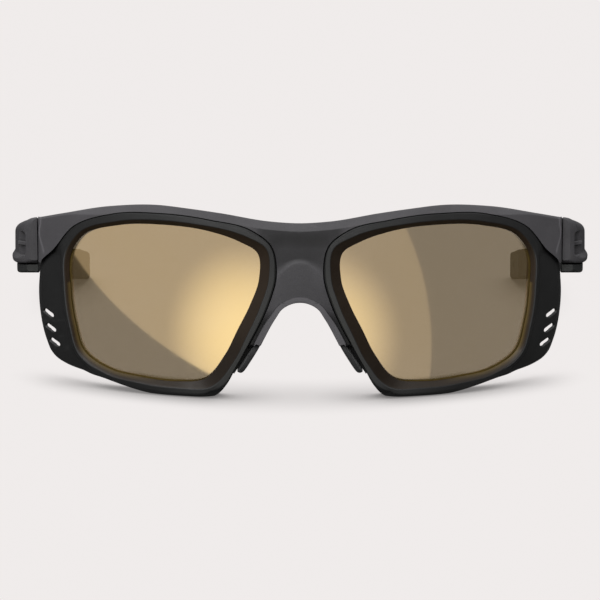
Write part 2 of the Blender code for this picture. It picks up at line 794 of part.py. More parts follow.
def add_temple_core(side_name, side, pivot, material):
    skin = rod(core_line(CORE_START + 0.4), core_line(CORE_END), CORE_RADIUS, 12)
    return add_solid(f"temple_core_{side_name}", skin, pivot, material, side)


# Hinge hardware --------------------------------------------------------------------------------


def add_hinge_screw(side_name, side, datum, material):
    head_foot = LOWER_LUG[0] + 0.1
    heights = [
        (SCREW_HEAD - 0.15, head_foot), (SCREW_HEAD, head_foot + 0.15), (SCREW_HEAD, head_foot + 0.65),
        (SCREW_RADIUS, head_foot + 0.65), (SCREW_RADIUS, UPPER_LUG[1] - 1.1),
        (SCREW_RADIUS - 0.3, UPPER_LUG[1] - 0.8),
    ]
    rings = [round_ring((HINGE_X, HINGE_Y, z), (0, 0, 1), radius, ROUND_SIDES) for radius, z in heights]
    screw = add_solid(f"hinge_screw_{side_name}", loft(rings, False), datum, material, side)
    slot = block(
        (HINGE_X - SCREW_HEAD, HINGE_Y - SLOT_WIDTH / 2, head_foot - SLOT_DEPTH),
        (HINGE_X + SCREW_HEAD, HINGE_Y + SLOT_WIDTH / 2, head_foot + SLOT_DEPTH),
    )
    combine(screw, add_solid(f"driver_slot_{side_name}", slot, datum, side=side), "DIFFERENCE")
    return screw


def add_sleeve(name, side, parent, material, bottom, top):
    profile = [(SLEEVE_BORE, bottom), (SLEEVE_RADIUS, bottom), (SLEEVE_RADIUS, top), (SLEEVE_BORE, top)]
    return add_solid(name, turned(profile), parent, material, side)


def clear_scene():
    for leftover in list(bpy.data.objects):
        bpy.data.objects.remove(leftover)


def build():
    clear_scene()
    grey = add_material("matte_grey_plastic", (0.062, 0.060, 0.066), 0.55)
    black = add_material("black_plastic", (0.014, 0.014, 0.014), 0.40)
    gold = add_material("gold_mirror", (0.83, 0.66, 0.38), 0.06, 1.0)
    rubber = add_material("dark_rubber", (0.016, 0.016, 0.017), 0.70)
    steel = add_material("steel", (0.55, 0.55, 0.56), 0.30, 1.0)
    brass = add_material("brass", (0.70, 0.52, 0.22), 0.30, 1.0)
    nylon = add_material("nylon", (0.55, 0.54, 0.50), 0.50)
    datum = add_empty("datum", (0.0, 0.0, 0.0))
    datum.location = Vector((0.0, -HALF_DEPTH, 0.0)) * MM
    add_front_frame(datum, grey)
    for side_name, side in SIDES.items():
        pod_place = (side * LENS_CENTRE[0], 0.0, LENS_CENTRE[1])
        pod = add_empty(f"pod_{side_name}_slide", pod_place, datum)
        pivot = add_empty(f"temple_{side_name}_pivot", (side * HINGE_X, HINGE_Y, 0.0), datum)
        add_rim(side_name, side, pod, black)
        add_lens(side_name, side, pod, gold)
        add_nose_pad(side_name, side, datum, rubber)
        add_temple(side_name, side, pivot, grey)
        add_temple_tip(side_name, side, pivot, rubber)
        add_hinge_cover(side_name, side, pivot, black)
        add_temple_core(side_name, side, pivot, steel)
        add_hinge_screw(side_name, side, datum, steel)
        add_sleeve(f"hinge_insert_{side_name}", side, datum, brass, UPPER_LUG[0] + 0.2, UPPER_LUG[1] - 0.8)
        add_sleeve(f"hinge_bush_{side_name}", side, pivot, nylon, KNUCKLE[0] + 0.1, KNUCKLE[1] - 0.1)


build()
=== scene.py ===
"""Looks for the glacier glasses: fine meshes, procedural materials and a plain studio.

Shapes are worked out in millimetres in the design frame of the CAD: y = 0 is the front of the bridge,
the outward side is X > 0, and each side is that shape times its sign.
"""

import json
import math

import bmesh
import bpy
import numpy as np
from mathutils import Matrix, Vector


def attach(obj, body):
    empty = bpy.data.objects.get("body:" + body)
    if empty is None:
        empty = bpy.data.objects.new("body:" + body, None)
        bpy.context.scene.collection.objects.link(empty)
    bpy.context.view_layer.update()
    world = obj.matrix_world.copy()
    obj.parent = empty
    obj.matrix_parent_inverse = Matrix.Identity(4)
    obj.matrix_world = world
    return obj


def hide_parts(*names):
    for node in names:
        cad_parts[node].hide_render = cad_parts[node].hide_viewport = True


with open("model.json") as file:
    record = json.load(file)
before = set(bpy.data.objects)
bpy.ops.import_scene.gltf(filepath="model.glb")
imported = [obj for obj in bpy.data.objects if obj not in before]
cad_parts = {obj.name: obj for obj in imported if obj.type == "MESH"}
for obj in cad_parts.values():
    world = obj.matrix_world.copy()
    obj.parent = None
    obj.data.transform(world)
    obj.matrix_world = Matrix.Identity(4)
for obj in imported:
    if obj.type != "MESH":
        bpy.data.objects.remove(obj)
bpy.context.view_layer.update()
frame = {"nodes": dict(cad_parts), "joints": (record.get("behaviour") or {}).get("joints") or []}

MM = 0.001
SIDES = {"right": -1.0, "left": 1.0}
SEAM = 0.16
SMOOTH_ANGLE = math.radians(32.0)

# The wrapped surface that the front, the rims and the lenses share.
WRAP_RADIUS = 78.0
WRAP_FLAT = 10.0
RAKE_RADIUS = 100.0
RAKE_ANGLE = math.radians(3.0)
RAKE_HEIGHT = 26.0

# Outlines in the front view: outward distance and height.
LENS_CENTRE = np.array([35.0, 24.0])
APERTURE = [
    (12.4, 24.9), (10.2, 31.5), (10.7, 38.3), (14.9, 40.8), (22.8, 43.3), (33.6, 44.3),
    (45.3, 43.3), (54.4, 39.8), (57.6, 35.2), (58.1, 25.5), (57.1, 16.9), (54.7, 9.1),
    (48.2, 5.3), (40.7, 4.2), (30.7, 3.8), (24.2, 4.8), (18.8, 11.5), (15.7, 18.0),
]
RIM_OUTLINE = [
    (7.8, 25.4), (5.9, 33.0), (7.4, 40.4), (12.0, 43.9), (22.3, 46.3), (34.5, 47.3),
    (46.7, 46.2), (57.0, 41.8), (62.4, 35.0), (65.8, 31.2), (66.7, 26.0), (66.72, 18.0),
    (65.0, 9.6), (63.95, 7.15), (62.5, 5.65), (60.0, 4.5), (56.4, 3.65), (51.6, 3.2),
    (44.2, 1.45), (36.0, -0.25), (28.5, -0.4), (21.6, -0.1), (18.4, 3.8), (15.6, 9.4),
    (12.8, 14.7), (9.9, 20.4),
]
BROW_TOP = [
    (0.0, 45.5), (7.4, 45.93), (19.8, 47.8), (27.3, 48.6), (36.0, 49.1), (47.6, 47.8),
    (60.7, 44.38), (66.65, 42.36),
]
NOSE_ARCH = [
    (0.0, 26.0), (2.2, 25.6), (4.4, 24.3), (6.1, 21.8), (8.7, 16.8), (9.75, 14.6),
]
NOSE_TONGUE = [(10.98, 15.0), (13.4, 11.2), (16.55, 6.1)]
ENDPIECE_SIDE = 66.65
ENDPIECE_FOOT = 31.0

# Rim section.
APERTURE_DEPTH = 1.7
GROOVE_FRONT = 2.05
GROOVE_BACK = 4.45
GROOVE_WIDTH = 1.3
BACK_LIP = 0.5
RING_BACK = 5.6
REAR_RIM = 0.6
WALL = 1.3
SHEET = 1.6
SHIELD_STEP = 0.8
SHIELD_DEPTH = 5.8
BEVEL_THIN = 1.45
BEVEL_NOSE = 2.7
NOSE_DIRECTION = math.radians(188.0)
RIM_SETBACKS = [
    0.12, 0.3, 0.12, 0.04, 0.18, 0.12, 0.3, 0.5, 0.35, 0.35, 0.4, 0.3, 0.3, 0.2, 0.15, 0.1, 0.1, 0.1,
]
RIM_SAMPLES = 300

# Lens.
LENS_OVERLAP = 1.0
LENS_FRONT = 2.35
LENS_THICKNESS = 1.8

# Vents.
VENT_CENTRES = [(63.8, 18.0), (63.3, 14.1), (62.3, 10.4)]
VENT_SLOPE = math.radians(27.0)
VENT_ALONG = np.array([-math.cos(VENT_SLOPE), -math.sin(VENT_SLOPE)])
VENT_ACROSS = np.array([-VENT_ALONG[1], VENT_ALONG[0]])
VENT_LENGTH = 2.75
VENT_WIDTH = 1.25
VENT_AIM = (0.07, 1.0, -0.22)
VENT_SLIDE = (0.5, -0.3)

# Front frame.
BROW_DEPTH = 7.2
NOSE_ARM_DEPTH = 7.4
ENDPIECE_BACK = 30.4
TOP_FALL = 0.24
CHAMFER = 1.65
FLANGE_WIDTH = 1.1
FLANGE_FRONT = 6.55
ARCH_LIP = 1.35
LIP_SPREAD = 0.35
DOME_TOP = 36.42
DOME_CURVE = 0.096

# Hinge.
HINGE_X = 64.25
HINGE_Y = 33.6
LUG_RADIUS = 2.3
LOWER_LUG = (31.4, 33.9)
KNUCKLE = (34.2, 37.4)
UPPER_LUG = (37.7, 40.2)
SLEEVE_BORE = 1.0
SLEEVE_SEAT = 1.65

# Temple: y, inner side, outer side, bottom, top.
TEMPLE_STATIONS = [
    (27.2, 67.0, 68.9, 31.0, 41.85),
    (28.0, 67.0, 70.4, 30.3, 42.05),
    (29.6, 67.0, 72.2, 29.8, 41.7),
    (32.6, 67.0, 73.5, 29.4, 40.95),
    (38.5, 67.0, 74.25, 29.3, 39.3),
    (44.5, 66.9, 73.3, 28.4, 37.6),
    (52.0, 66.5, 71.4, 26.3, 35.4),
    (62.0, 66.0, 70.1, 23.0, 31.9),
    (75.0, 65.8, 69.7, 18.6, 27.2),
    (88.0, 65.5, 69.4, 14.8, 23.1),
    (97.0, 65.2, 69.1, 12.4, 20.5),
]
TIP_STATIONS = [
    (97.4, 65.2, 69.1, 12.3, 20.4),
    (104.0, 64.8, 68.8, 10.6, 18.6),
    (112.0, 64.2, 68.4, 8.6, 16.8),
    (123.0, 63.4, 67.7, 5.9, 14.3),
    (134.0, 62.6, 67.1, 3.3, 11.9),
    (142.0, 62.0, 66.8, 1.5, 9.9),
    (147.6, 61.6, 66.6, 0.2, 8.4),
    (148.8, 61.5, 66.6, -0.3, 8.1),
    (150.6, 61.4, 66.5, -0.3, 7.6),
]
COVER_STATIONS = [
    (28.6, 66.95, 69.8, 27.9, 29.6),
    (31.0, 66.95, 71.9, 27.0, 29.2),
    (36.0, 66.95, 72.9, 26.8, 28.95),
    (41.0, 67.2, 72.7, 26.8, 28.6),
    (46.5, 67.6, 71.6, 26.8, 27.5),
]
COVER_GROOVE = ((67.6, 31.6, 26.0), (74.0, 32.0, 27.5))
BULGE_END = 46.0
RIBS = (108.0, 134.0)
RIB_PITCH = 2.6
RIB_DEPTH = 0.28
CORE_BORE = 1.1
CORE_START = np.array([67.35, 88.0, 19.0])
CORE_END = np.array([66.25, 112.0, 12.55])
CORD_HOLE = (143.5, 5.3)
CORD_RADIUS = 1.0
WINDOW_CENTRE = (71.45, 29.4, 35.0)
WINDOW_TURN = math.radians(25.0)
WINDOW_OUTWARD = (math.sin(WINDOW_TURN), -math.cos(WINDOW_TURN), 0.0)
WINDOW_LEVEL = (math.cos(WINDOW_TURN), math.sin(WINDOW_TURN), 0.0)
WINDOW_WIDTH = 3.2
WINDOW_HEIGHT = 6.0
WINDOW_RADIUS = 0.9
WINDOW_DEPTH = 1.6
BAR_HEIGHT = 1.2
BAR_RECESS = 0.35
BAR_LENGTH = 2.7

# Nose pad.
PAD_LEAF = [
    (-0.4, 2.8), (-0.4, 7.4), (0.4, 10.2), (4.4, 10.9), (7.2, 12.4), (5.4, 14.6),
    (0.5, 15.4), (-5.2, 13.6), (-8.6, 9.4), (-9.4, 5.2), (-8.2, 2.4), (-4.5, 1.6),
]
PAD_TOP = np.array([9.75, 14.5])
PAD_FOOT = np.array([14.7, 6.6])
PAD_THICKNESS = 1.1
PAD_SPLAY = 0.03
PAD_BACKING = 0.16
PAD_ROUND = 0.8

# Camera, in the design frame: height above level, distance, target height and lens.
CAMERA_RISE = math.radians(12.5)
CAMERA_DISTANCE = 850.0
CAMERA_TARGET = 26.65
CAMERA_LENS = 205.8

hinge = next(joint for joint in frame["joints"] if joint["name"] == "temple_left_fold")
SHIFT = hinge["pos_m"][1] / MM - HINGE_Y


# Curves and surfaces


def smooth_path(points, closed, per_span=16):
    """A smooth curve through the points, whose tangents weigh the neighbouring spans."""
    points = np.asarray(points, float)
    count = len(points)
    after = np.roll(points, -1, axis=0) - points
    length = np.linalg.norm(after[:, :2], axis=1)
    slope = after / length[:, None]
    tangent = np.empty_like(points)
    for i in range(count):
        before = (i - 1) % count
        weighed = slope[before] * length[i] + slope[i] * length[before]
        tangent[i] = weighed / (length[i] + length[before])
    if not closed:
        tangent[0] = slope[0]
        tangent[-1] = slope[-2]
    steps = np.arange(per_span)[:, None] / per_span
    path = []
    for i in range(count if closed else count - 1):
        j = (i + 1) % count
        span = length[i]
        cubic = steps**3
        square = steps**2
        path.append(
            (2 * cubic - 3 * square + 1) * points[i]
            + (cubic - 2 * square + steps) * span * tangent[i]
            + (3 * square - 2 * cubic) * points[j]
            + (cubic - square) * span * tangent[j]
        )
    if not closed:
        path.append(points[-1:])
    return np.concatenate(path)


def half_path(points, per_span=24):
    """The outward half of a smooth curve that crosses the centre plane level."""
    mirrored = [(-x, z) for x, z in points[:0:-1]]
    path = smooth_path(mirrored + list(points), closed=False, per_span=per_span)
    return path[len(mirrored) * per_span:]


def smoothstep(value):
    """A soft step from zero to one as the value goes from zero to one."""
    value = np.clip(value, 0.0, 1.0)
    return value * value * (3.0 - 2.0 * value)


def wrap(x, z):
    """Depth of the wrapped surface at an outward distance and a height."""
    across = np.sqrt(x * x + WRAP_FLAT**2) - WRAP_FLAT
    curve = WRAP_RADIUS - np.sqrt(WRAP_RADIUS**2 - across * across)
    height = z - RAKE_HEIGHT
    return curve + height * height / (2 * RAKE_RADIUS) - height * math.tan(RAKE_ANGLE)


def directions(path):
    """Direction and distance of each point from the lens centre."""
    offset = path - LENS_CENTRE
    return np.arctan2(offset[:, 1], offset[:, 0]), np.hypot(offset[:, 0], offset[:, 1])


def reach_of(points):
    """The outline's distance from the lens centre, as a function of direction."""
    path = smooth_path(points, closed=True, per_span=24)
    path[:, 1] = np.maximum(path[:, 1], 0.0)
    angle, radius = directions(path)
    return lambda at: np.interp(at, angle, radius, period=2 * math.pi)


aperture_reach = reach_of(APERTURE)
rim_reach = reach_of(RIM_OUTLINE)


def ray(angle, distance):
    """The point at a direction and distance from the lens centre."""
    return LENS_CENTRE + distance * np.array([math.cos(angle), math.sin(angle)])


def walked_length(path):
    """Length walked along a path up to each of its points."""
    return np.concatenate([[0.0], np.cumsum(np.linalg.norm(np.diff(path, axis=0), axis=1))])


def aperture_angles(count):
    """Directions that are evenly spaced along the lens opening."""
    path = smooth_path(APERTURE, closed=True)
    path = np.concatenate([path, path[:1]])
    walked = walked_length(path)
    angle = np.unwrap(directions(path)[0])
    return np.interp(np.arange(count) / count * walked[-1], walked, angle)


def rounded(corners, setbacks, steps=4):
    """A closed outline whose corners are curves that start and end a setback away."""
    corners = np.asarray(corners, float)
    outline = []
    for i in range(len(corners)):
        here = corners[i]
        back = corners[i - 1] - here
        ahead = corners[(i + 1) % len(corners)] - here
        back_length = max(np.linalg.norm(back), 1e-9)
        ahead_length = max(np.linalg.norm(ahead), 1e-9)
        start = here + back * min(setbacks[i] / back_length, 0.48)
        end = here + ahead * min(setbacks[i] / ahead_length, 0.48)
        for k in range(steps + 1):
            s = k / steps
            outline.append((1 - s) ** 2 * start + 2 * s * (1 - s) * here + s * s * end)
    return np.array(outline)


# Meshes


def loft(sections, closed):
    """A skin over sections of equal count. An open skin gets a flat cap at each end."""
    sections = np.asarray(sections, float)
    count, around = sections.shape[:2]
    faces = []
    for i in range(count if closed else count - 1):
        j = (i + 1) % count
        for k in range(around):
            m = (k + 1) % around
            faces.append((i * around + k, i * around + m, j * around + m, j * around + k))
    if not closed:
        faces.append(tuple(range(around)))
        faces.append(tuple(range((count - 1) * around, count * around)))
    return sections.reshape(-1, 3), faces


def design_place(vertex, side):
    """Where a vertex is in the design frame, with both sides taken as the outward one."""
    return np.array(vertex.co) / MM * [side, 1.0, 1.0] - [0.0, SHIFT, 0.0]


def mesh_object(name, skin, side=1.0, values=None):
    """A mesh object in the row frame from design millimetres, with its faces pointing out."""
    points, faces = skin
    points = (np.asarray(points, float) + [0.0, SHIFT, 0.0]) * [side, 1.0, 1.0] * MM
    mesh = bpy.data.meshes.new(name)
    mesh.from_pydata(points.tolist(), [], faces)
    for key, numbers in (values or {}).items():
        layer = mesh.attributes.new(key, "FLOAT", "POINT")
        layer.data.foreach_set("value", np.asarray(numbers, np.float32))
    body = bmesh.new()
    body.from_mesh(mesh)
    bmesh.ops.recalc_face_normals(body, faces=body.faces)
    body.to_mesh(mesh)
    body.free()
    piece = bpy.data.objects.new(name, mesh)
    bpy.context.collection.objects.link(piece)
    return piece


def combine(piece, changes, side=1.0):
    """Cuts and joins tools in order, and keeps only the result."""
    tools = []
    for number, (operation, skin) in enumerate(changes):
        tool = mesh_object(f"{piece.name}_tool_{number}", skin, side)
        change = piece.modifiers.new(tool.name, "BOOLEAN")
        change.operation = operation
        change.solver = "EXACT"
        change.object = tool
        tools.append(tool)
    bpy.context.view_layer.update()
    graph = bpy.context.evaluated_depsgraph_get()
    mesh = bpy.data.meshes.new_from_object(piece.evaluated_get(graph))
    mesh.name = piece.name
    piece.modifiers.clear()
    piece.data = mesh
    for tool in tools:
        bpy.data.objects.remove(tool)
    return piece


def finish_piece(piece, body, node, materials):
    """Shades a piece, gives it its materials and lets it stand for its CAD node."""
    for material in materials:
        piece.data.materials.append(material)
    piece.data.shade_smooth()
    piece.data.set_sharp_from_angle(angle=SMOOTH_ANGLE)
    weigh = piece.modifiers.new("flat_faces", "WEIGHTED_NORMAL")
    weigh.keep_sharp = True
    weigh.weight = 60
    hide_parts(node)
    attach(piece, body)
    return piece


def finish_side(piece, side_name, body, node, materials):
    """Finishes a piece whose body and CAD node are named after its side."""
    return finish_piece(piece, f"{body}_{side_name}", f"{node}_{side_name}", materials)


def round_ring(centre, axis, radius, sides):
    """Points on a circle round an axis."""
    axis = Vector(axis).normalized()
    first = axis.orthogonal().normalized()
    second = axis.cross(first)
    ring = []
    for i in range(sides):
        turn = 2 * math.pi * i / sides
        ring.append(Vector(centre) + radius * (math.cos(turn) * first + math.sin(turn) * second))
    return ring


def rod(start, end, radius, sides=48, chamfer=0.0):
    """A cylinder, with a chamfer at both ends if one is given."""
    start, end = Vector(start), Vector(end)
    axis = (end - start).normalized()
    rings = [(start, radius), (end, radius)]
    if chamfer:
        rings = [
            (start, radius - chamfer), (start + axis * chamfer, radius),
            (end - axis * chamfer, radius), (end, radius - chamfer),
        ]
    return loft([round_ring(place, axis, size, sides) for place, size in rings], False)


def upright(bottom, top, radius, chamfer=0.0):
    """A cylinder on the hinge axis."""
    return rod((HINGE_X, HINGE_Y, bottom), (HINGE_X, HINGE_Y, top), radius, chamfer=chamfer)


def block(low, high):
    """A box with rounded upright edges."""
    (x0, y0, z0), (x1, y1, z1) = low, high
    outline = rounded([(x0, y0), (x1, y0), (x1, y1), (x0, y1)], [0.05] * 4)
    return loft([[(x, y, z) for x, y in outline] for z in (z0, z1)], False)


def scaled_ring(ring, factor):
    """A ring scaled about its middle."""
    middle = np.mean(ring, axis=0)
    return middle + (np.asarray(ring) - middle) * factor


def oblong(half_length, half_width):
    """Corners of a rectangle round the origin."""
    return [
        (half_length, half_width), (-half_length, half_width),
        (-half_length, -half_width), (half_length, -half_width),
    ]


def slab(x_in, x_out, z_lo, z_hi):
    """Corners of an upright rectangle."""
    return [(x_in, z_lo), (x_out, z_lo), (x_out, z_hi), (x_in, z_hi)]


def cross_section(y, corners, setbacks, steps):
    """A section at one depth, with rounded corners."""
    return [(x, y, z) for x, z in rounded(corners, setbacks, steps)]


def rounded_bar(centre, along, through, length, width, radius, near, far, flare=0.0):
    """A bar through the middle, with a rounded section that flares at its near end."""
    along = Vector(along).normalized()
    through = Vector(through).normalized()
    across = through.cross(along)
    half_length, half_width = length / 2, width / 2
    outline = rounded(oblong(half_length, half_width), [radius] * 4, 6)
    stops = [(near, 0.0), (far, 0.0)]
    if flare:
        stops = [(near, 2 * flare), (0.0, flare), (flare, 0.0), (far, 0.0)]
    sections = []
    for depth, grow in stops:
        middle = Vector(centre) + through * depth
        wider_along = along * ((half_length + grow) / half_length)
        wider_across = across * ((half_width + grow) / half_width)
        sections.append([middle + wider_along * a + wider_across * b for a, b in outline])
    return loft(sections, False)


# Materials


class Graph:
    """A short way to write a node tree."""

    def __init__(self, owner):
        owner.use_nodes = True
        self.tree = owner.node_tree
        self.tree.nodes.clear()

    def node(self, kind, inputs=None, **settings):
        made = self.tree.nodes.new(kind)
        for key, value in settings.items():
            setattr(made, key, value)
        for key, value in (inputs or {}).items():
            self.feed(made.inputs[key], value)
        return made

    def feed(self, socket, value):
        if isinstance(value, bpy.types.NodeSocket):
            self.tree.links.new(value, socket)
        elif isinstance(value, (tuple, list)) and len(value) == 3 and socket.type == "RGBA":
            socket.default_value = (*value, 1.0)
        else:
            socket.default_value = value

    def math(self, operation, first, second=0.0):
        inputs = {0: first, 1: second}
        return self.node("ShaderNodeMath", inputs, operation=operation).outputs[0]

    def dot(self, first, second):
        inputs = {0: first, 1: second}
        return self.node("ShaderNodeVectorMath", inputs, operation="DOT_PRODUCT").outputs["Value"]

    def ramp(self, value, low, high, start=0.0, end=1.0):
        """A soft step from one level to another as the value goes from low to high."""
        inputs = {"Value": value, "From Min": low, "From Max": high, "To Min": start, "To Max": end}
        return self.node("ShaderNodeMapRange", inputs, interpolation_type="SMOOTHSTEP").outputs["Result"]

    def blend(self, factor, first, second, kind="MIX"):
        made = self.node("ShaderNodeMix", data_type="RGBA", blend_type=kind)
        self.feed(made.inputs[0], factor)
        self.feed(made.inputs[6], first)
        self.feed(made.inputs[7], second)
        return made.outputs[2]

    def noise(self, scale, detail=3.0, roughness=0.55, vector=None):
        inputs = {"Scale": scale, "Detail": detail, "Roughness": roughness}
        if vector is not None:
            inputs["Vector"] = vector
        return self.node("ShaderNodeTexNoise", inputs).outputs["Fac"]

    def attribute(self, name):
        return self.node("ShaderNodeAttribute", attribute_name=name).outputs["Fac"]

    def place(self):
        """Position on the object in metres, which stays with the piece as it moves."""
        return self.node("ShaderNodeTexCoord").outputs["Object"]

    def show(self, shader):
        self.node("ShaderNodeOutputMaterial", {"Surface": shader.outputs[0]})


def new_material(name):
    """A material with its node tree and the position that its patterns are placed by."""
    material = bpy.data.materials.new(name)
    graph = Graph(material)
    return material, graph, graph.place()


def moulded_plastic(name, colour, roughness, grain, specular=0.5, lift=2.6, tint=None):
    """Moulded nylon: a fine spark-eroded grain, soft cloudiness, faint scuffs, edges paler from wear and a
    painted sheen, and painted light, painted shade and a painted lens reflection and glow where the mesh
    asks for them.
    """
    material, graph, place = new_material(name)
    cloud = graph.noise(90.0, 3.0, vector=place)
    fine = graph.noise(5200.0, 2.0, 0.6, vector=place)
    coarse = graph.noise(1700.0, 3.0, 0.5, vector=place)
    scuff = graph.noise(420.0, 6.0, 0.75, vector=place)
    shade = graph.blend(graph.ramp(cloud, 0.35, 0.65), [c * 0.9 for c in colour], [c * 1.1 for c in colour])
    speck = graph.ramp(fine, 0.35, 0.7, 0.88, 1.14)
    speck = graph.node("ShaderNodeCombineColor", {0: speck, 1: speck, 2: speck}).outputs[0]
    shade = graph.blend(1.0, shade, speck, "MULTIPLY")
    pointed = graph.node("ShaderNodeNewGeometry").outputs["Pointiness"]
    # Edges paler in scuffed patches: wear, with a painted sheen on the sharp edges.
    wear_and_sheen = graph.math("MULTIPLY", graph.ramp(pointed, 0.52, 0.60), graph.ramp(scuff, 0.4, 0.65))
    wear_and_sheen = graph.math("MULTIPLY", wear_and_sheen, 0.25)
    shade = graph.blend(wear_and_sheen, shade, [min(1.0, c * 2.2 + 0.02) for c in colour])
    # Painted light: a paler colour where the mesh asks for it.
    shade = graph.blend(graph.attribute("lift"), shade, [c * lift for c in colour])
    if tint:
        # Painted reflection of the amber lens on the rim's bevel, and a painted amber glow at its inner
        # edge.
        shade = graph.blend(graph.attribute("tint"), shade, tint)
        shade = graph.blend(graph.attribute("amber"), shade, LENS_EDGE_GLOW)
    # Painted shade: a darker colour where the mesh asks for it.
    painted_shade = graph.math("MULTIPLY", graph.attribute("sink"), 0.9)
    shade = graph.blend(painted_shade, shade, [c * 0.18 for c in colour])
    rough = graph.ramp(scuff, 0.3, 0.7, roughness - 0.06, roughness + 0.08)
    height = graph.math("ADD", graph.math("MULTIPLY", fine, 0.6), graph.math("MULTIPLY", coarse, 0.4))
    bump = graph.node("ShaderNodeBump", {"Strength": grain, "Distance": 0.00006, "Height": height})
    inputs = {
        "Base Color": shade, "Roughness": rough, "Specular IOR Level": specular,
        "Normal": bump.outputs[0],
    }
    graph.show(graph.node("ShaderNodeBsdfPrincipled", inputs))
    return material


def soft_rubber(name, colour):
    """Matte rubber: a dry surface with a fine pebbled skin and a little dust in its low places."""
    material, graph, place = new_material(name)
    cloud = graph.noise(140.0, 4.0, 0.6, vector=place)
    pebble = graph.node("ShaderNodeTexVoronoi", {"Scale": 2600.0, "Vector": place}).outputs["Distance"]
    fine = graph.noise(6000.0, 2.0, vector=place)
    shade = graph.blend(graph.ramp(cloud, 0.35, 0.7), [c * 0.8 for c in colour], [c * 1.3 for c in colour])
    dust = graph.math("MULTIPLY", graph.ramp(pebble, 0.1, 0.7, 0.0, 0.12), graph.ramp(cloud, 0.4, 0.7))
    shade = graph.blend(dust, shade, (0.10, 0.10, 0.10))
    height = graph.math("ADD", pebble, graph.math("MULTIPLY", fine, 0.5))
    bump = graph.node("ShaderNodeBump", {"Strength": 0.35, "Distance": 0.00008, "Height": height})
    rough = graph.ramp(fine, 0.3, 0.7, 0.62, 0.82)
    inputs = {
        "Base Color": shade, "Roughness": rough, "Specular IOR Level": 0.35,
        "Sheen Weight": 0.15, "Sheen Roughness": 0.5, "Normal": bump.outputs[0],
    }
    graph.show(graph.node("ShaderNodeBsdfPrincipled", inputs))
    return material


def machined_metal(name, colour, roughness):
    """Turned metal: fine rings round the hinge axis and faint stains."""
    material, graph, place = new_material(name)
    stretch = graph.node("ShaderNodeMapping", {"Vector": place, "Scale": (300.0, 300.0, 9000.0)})
    rings = graph.noise(1.0, 2.0, 0.5, vector=stretch.outputs[0])
    stain = graph.noise(700.0, 4.0, vector=place)
    shade = graph.blend(graph.ramp(stain, 0.35, 0.7), colour, [c * 0.72 for c in colour])
    bump = graph.node("ShaderNodeBump", {"Strength": 0.4, "Distance": 0.00003, "Height": rings})
    rough = graph.ramp(rings, 0.3, 0.7, roughness - 0.07, roughness + 0.1)
    inputs = {"Base Color": shade, "Metallic": 1.0, "Roughness": rough, "Normal": bump.outputs[0]}
    graph.show(graph.node("ShaderNodeBsdfPrincipled", inputs))
    return material


MIRROR_COLOUR = (1.0, 0.71, 0.354)
MIRROR_STRENGTH = 0.75
LENS_TINT = (0.184, 0.162, 0.126)
# A painted amber glow along the lens's outward edge, also laid on the rim's bevel.
LENS_EDGE_GLOW = (0.155, 0.105, 0.030)


def mirror_lens(name):
    """The lens front: a gold mirror film over see-through amber, with a faint smear and film drift, and a
    painted amber glow along the edge on its outward side.
    """
    material, graph, place = new_material(name)
    drift = graph.noise(45.0, 2.0, vector=place)
    smear = graph.noise(260.0, 5.0, 0.7, vector=place)
    gold = [c * MIRROR_STRENGTH for c in MIRROR_COLOUR]
    warm = [gold[0], gold[1] * 0.985, gold[2] * 0.95]
    cool = [gold[0], gold[1], gold[2] * 1.05]
    film = graph.blend(graph.ramp(drift, 0.3, 0.7), warm, cool)
    spread = graph.node("ShaderNodeLightPath").outputs["Is Diffuse Ray"]
    film = graph.blend(spread, film, (0.5, 0.5, 0.5))
    rough = graph.ramp(smear, 0.35, 0.75, 0.035, 0.075)
    glossy = graph.node("ShaderNodeBsdfGlossy", {"Color": film, "Roughness": rough})
    clear = graph.node("ShaderNodeBsdfTransparent", {"Color": (*LENS_TINT, 1.0)})
    both = graph.node("ShaderNodeAddShader", {0: glossy.outputs[0], 1: clear.outputs[0]})
    # The band on the outward edge is a painted amber glow in place of the mirror.
    amber = graph.blend(graph.ramp(smear, 0.3, 0.7), [c * 0.8 for c in LENS_EDGE_GLOW], LENS_EDGE_GLOW)
    inputs = {"Base Color": amber, "Roughness": 0.45, "Specular IOR Level": 0.2}
    band = graph.node("ShaderNodeBsdfPrincipled", inputs)
    inputs = {0: graph.attribute("edge"), 1: both.outputs[0], 2: band.outputs[0]}
    mixed = graph.node("ShaderNodeMixShader", inputs)
    graph.show(mixed)
    return material


def lens_back(name):
    """The lens back: clear amber with a weak reflection."""
    material, graph, place = new_material(name)
    smear = graph.noise(240.0, 5.0, 0.7, vector=place)
    rough = graph.ramp(smear, 0.35, 0.75, 0.05, 0.12)
    glossy = graph.node("ShaderNodeBsdfGlossy", {"Color": (0.07, 0.055, 0.03), "Roughness": rough})
    clear = graph.node("ShaderNodeBsdfTransparent", {"Color": (0.97, 0.96, 0.94)})
    both = graph.node("ShaderNodeAddShader", {0: glossy.outputs[0], 1: clear.outputs[0]})
    graph.show(both)
    return material


def lens_edge(name):
    """The lens edge: frosted dark amber."""
    material, graph, place = new_material(name)
    grain = graph.noise(3000.0, 2.0, vector=place)
    shade = graph.blend(graph.ramp(grain, 0.3, 0.7), (0.10, 0.055, 0.015), (0.16, 0.09, 0.03))
    shader = graph.node("ShaderNodeBsdfPrincipled", {"Base Color": shade, "Roughness": 0.35})
    graph.show(shader)
    return material


# Front frame


def straight(start, end, count=60):
    """Evenly spaced points on a straight line."""
    steps = np.linspace(0.0, 1.0, count)[:, None]
    return np.asarray(start) * (1 - steps) + np.asarray(end) * steps


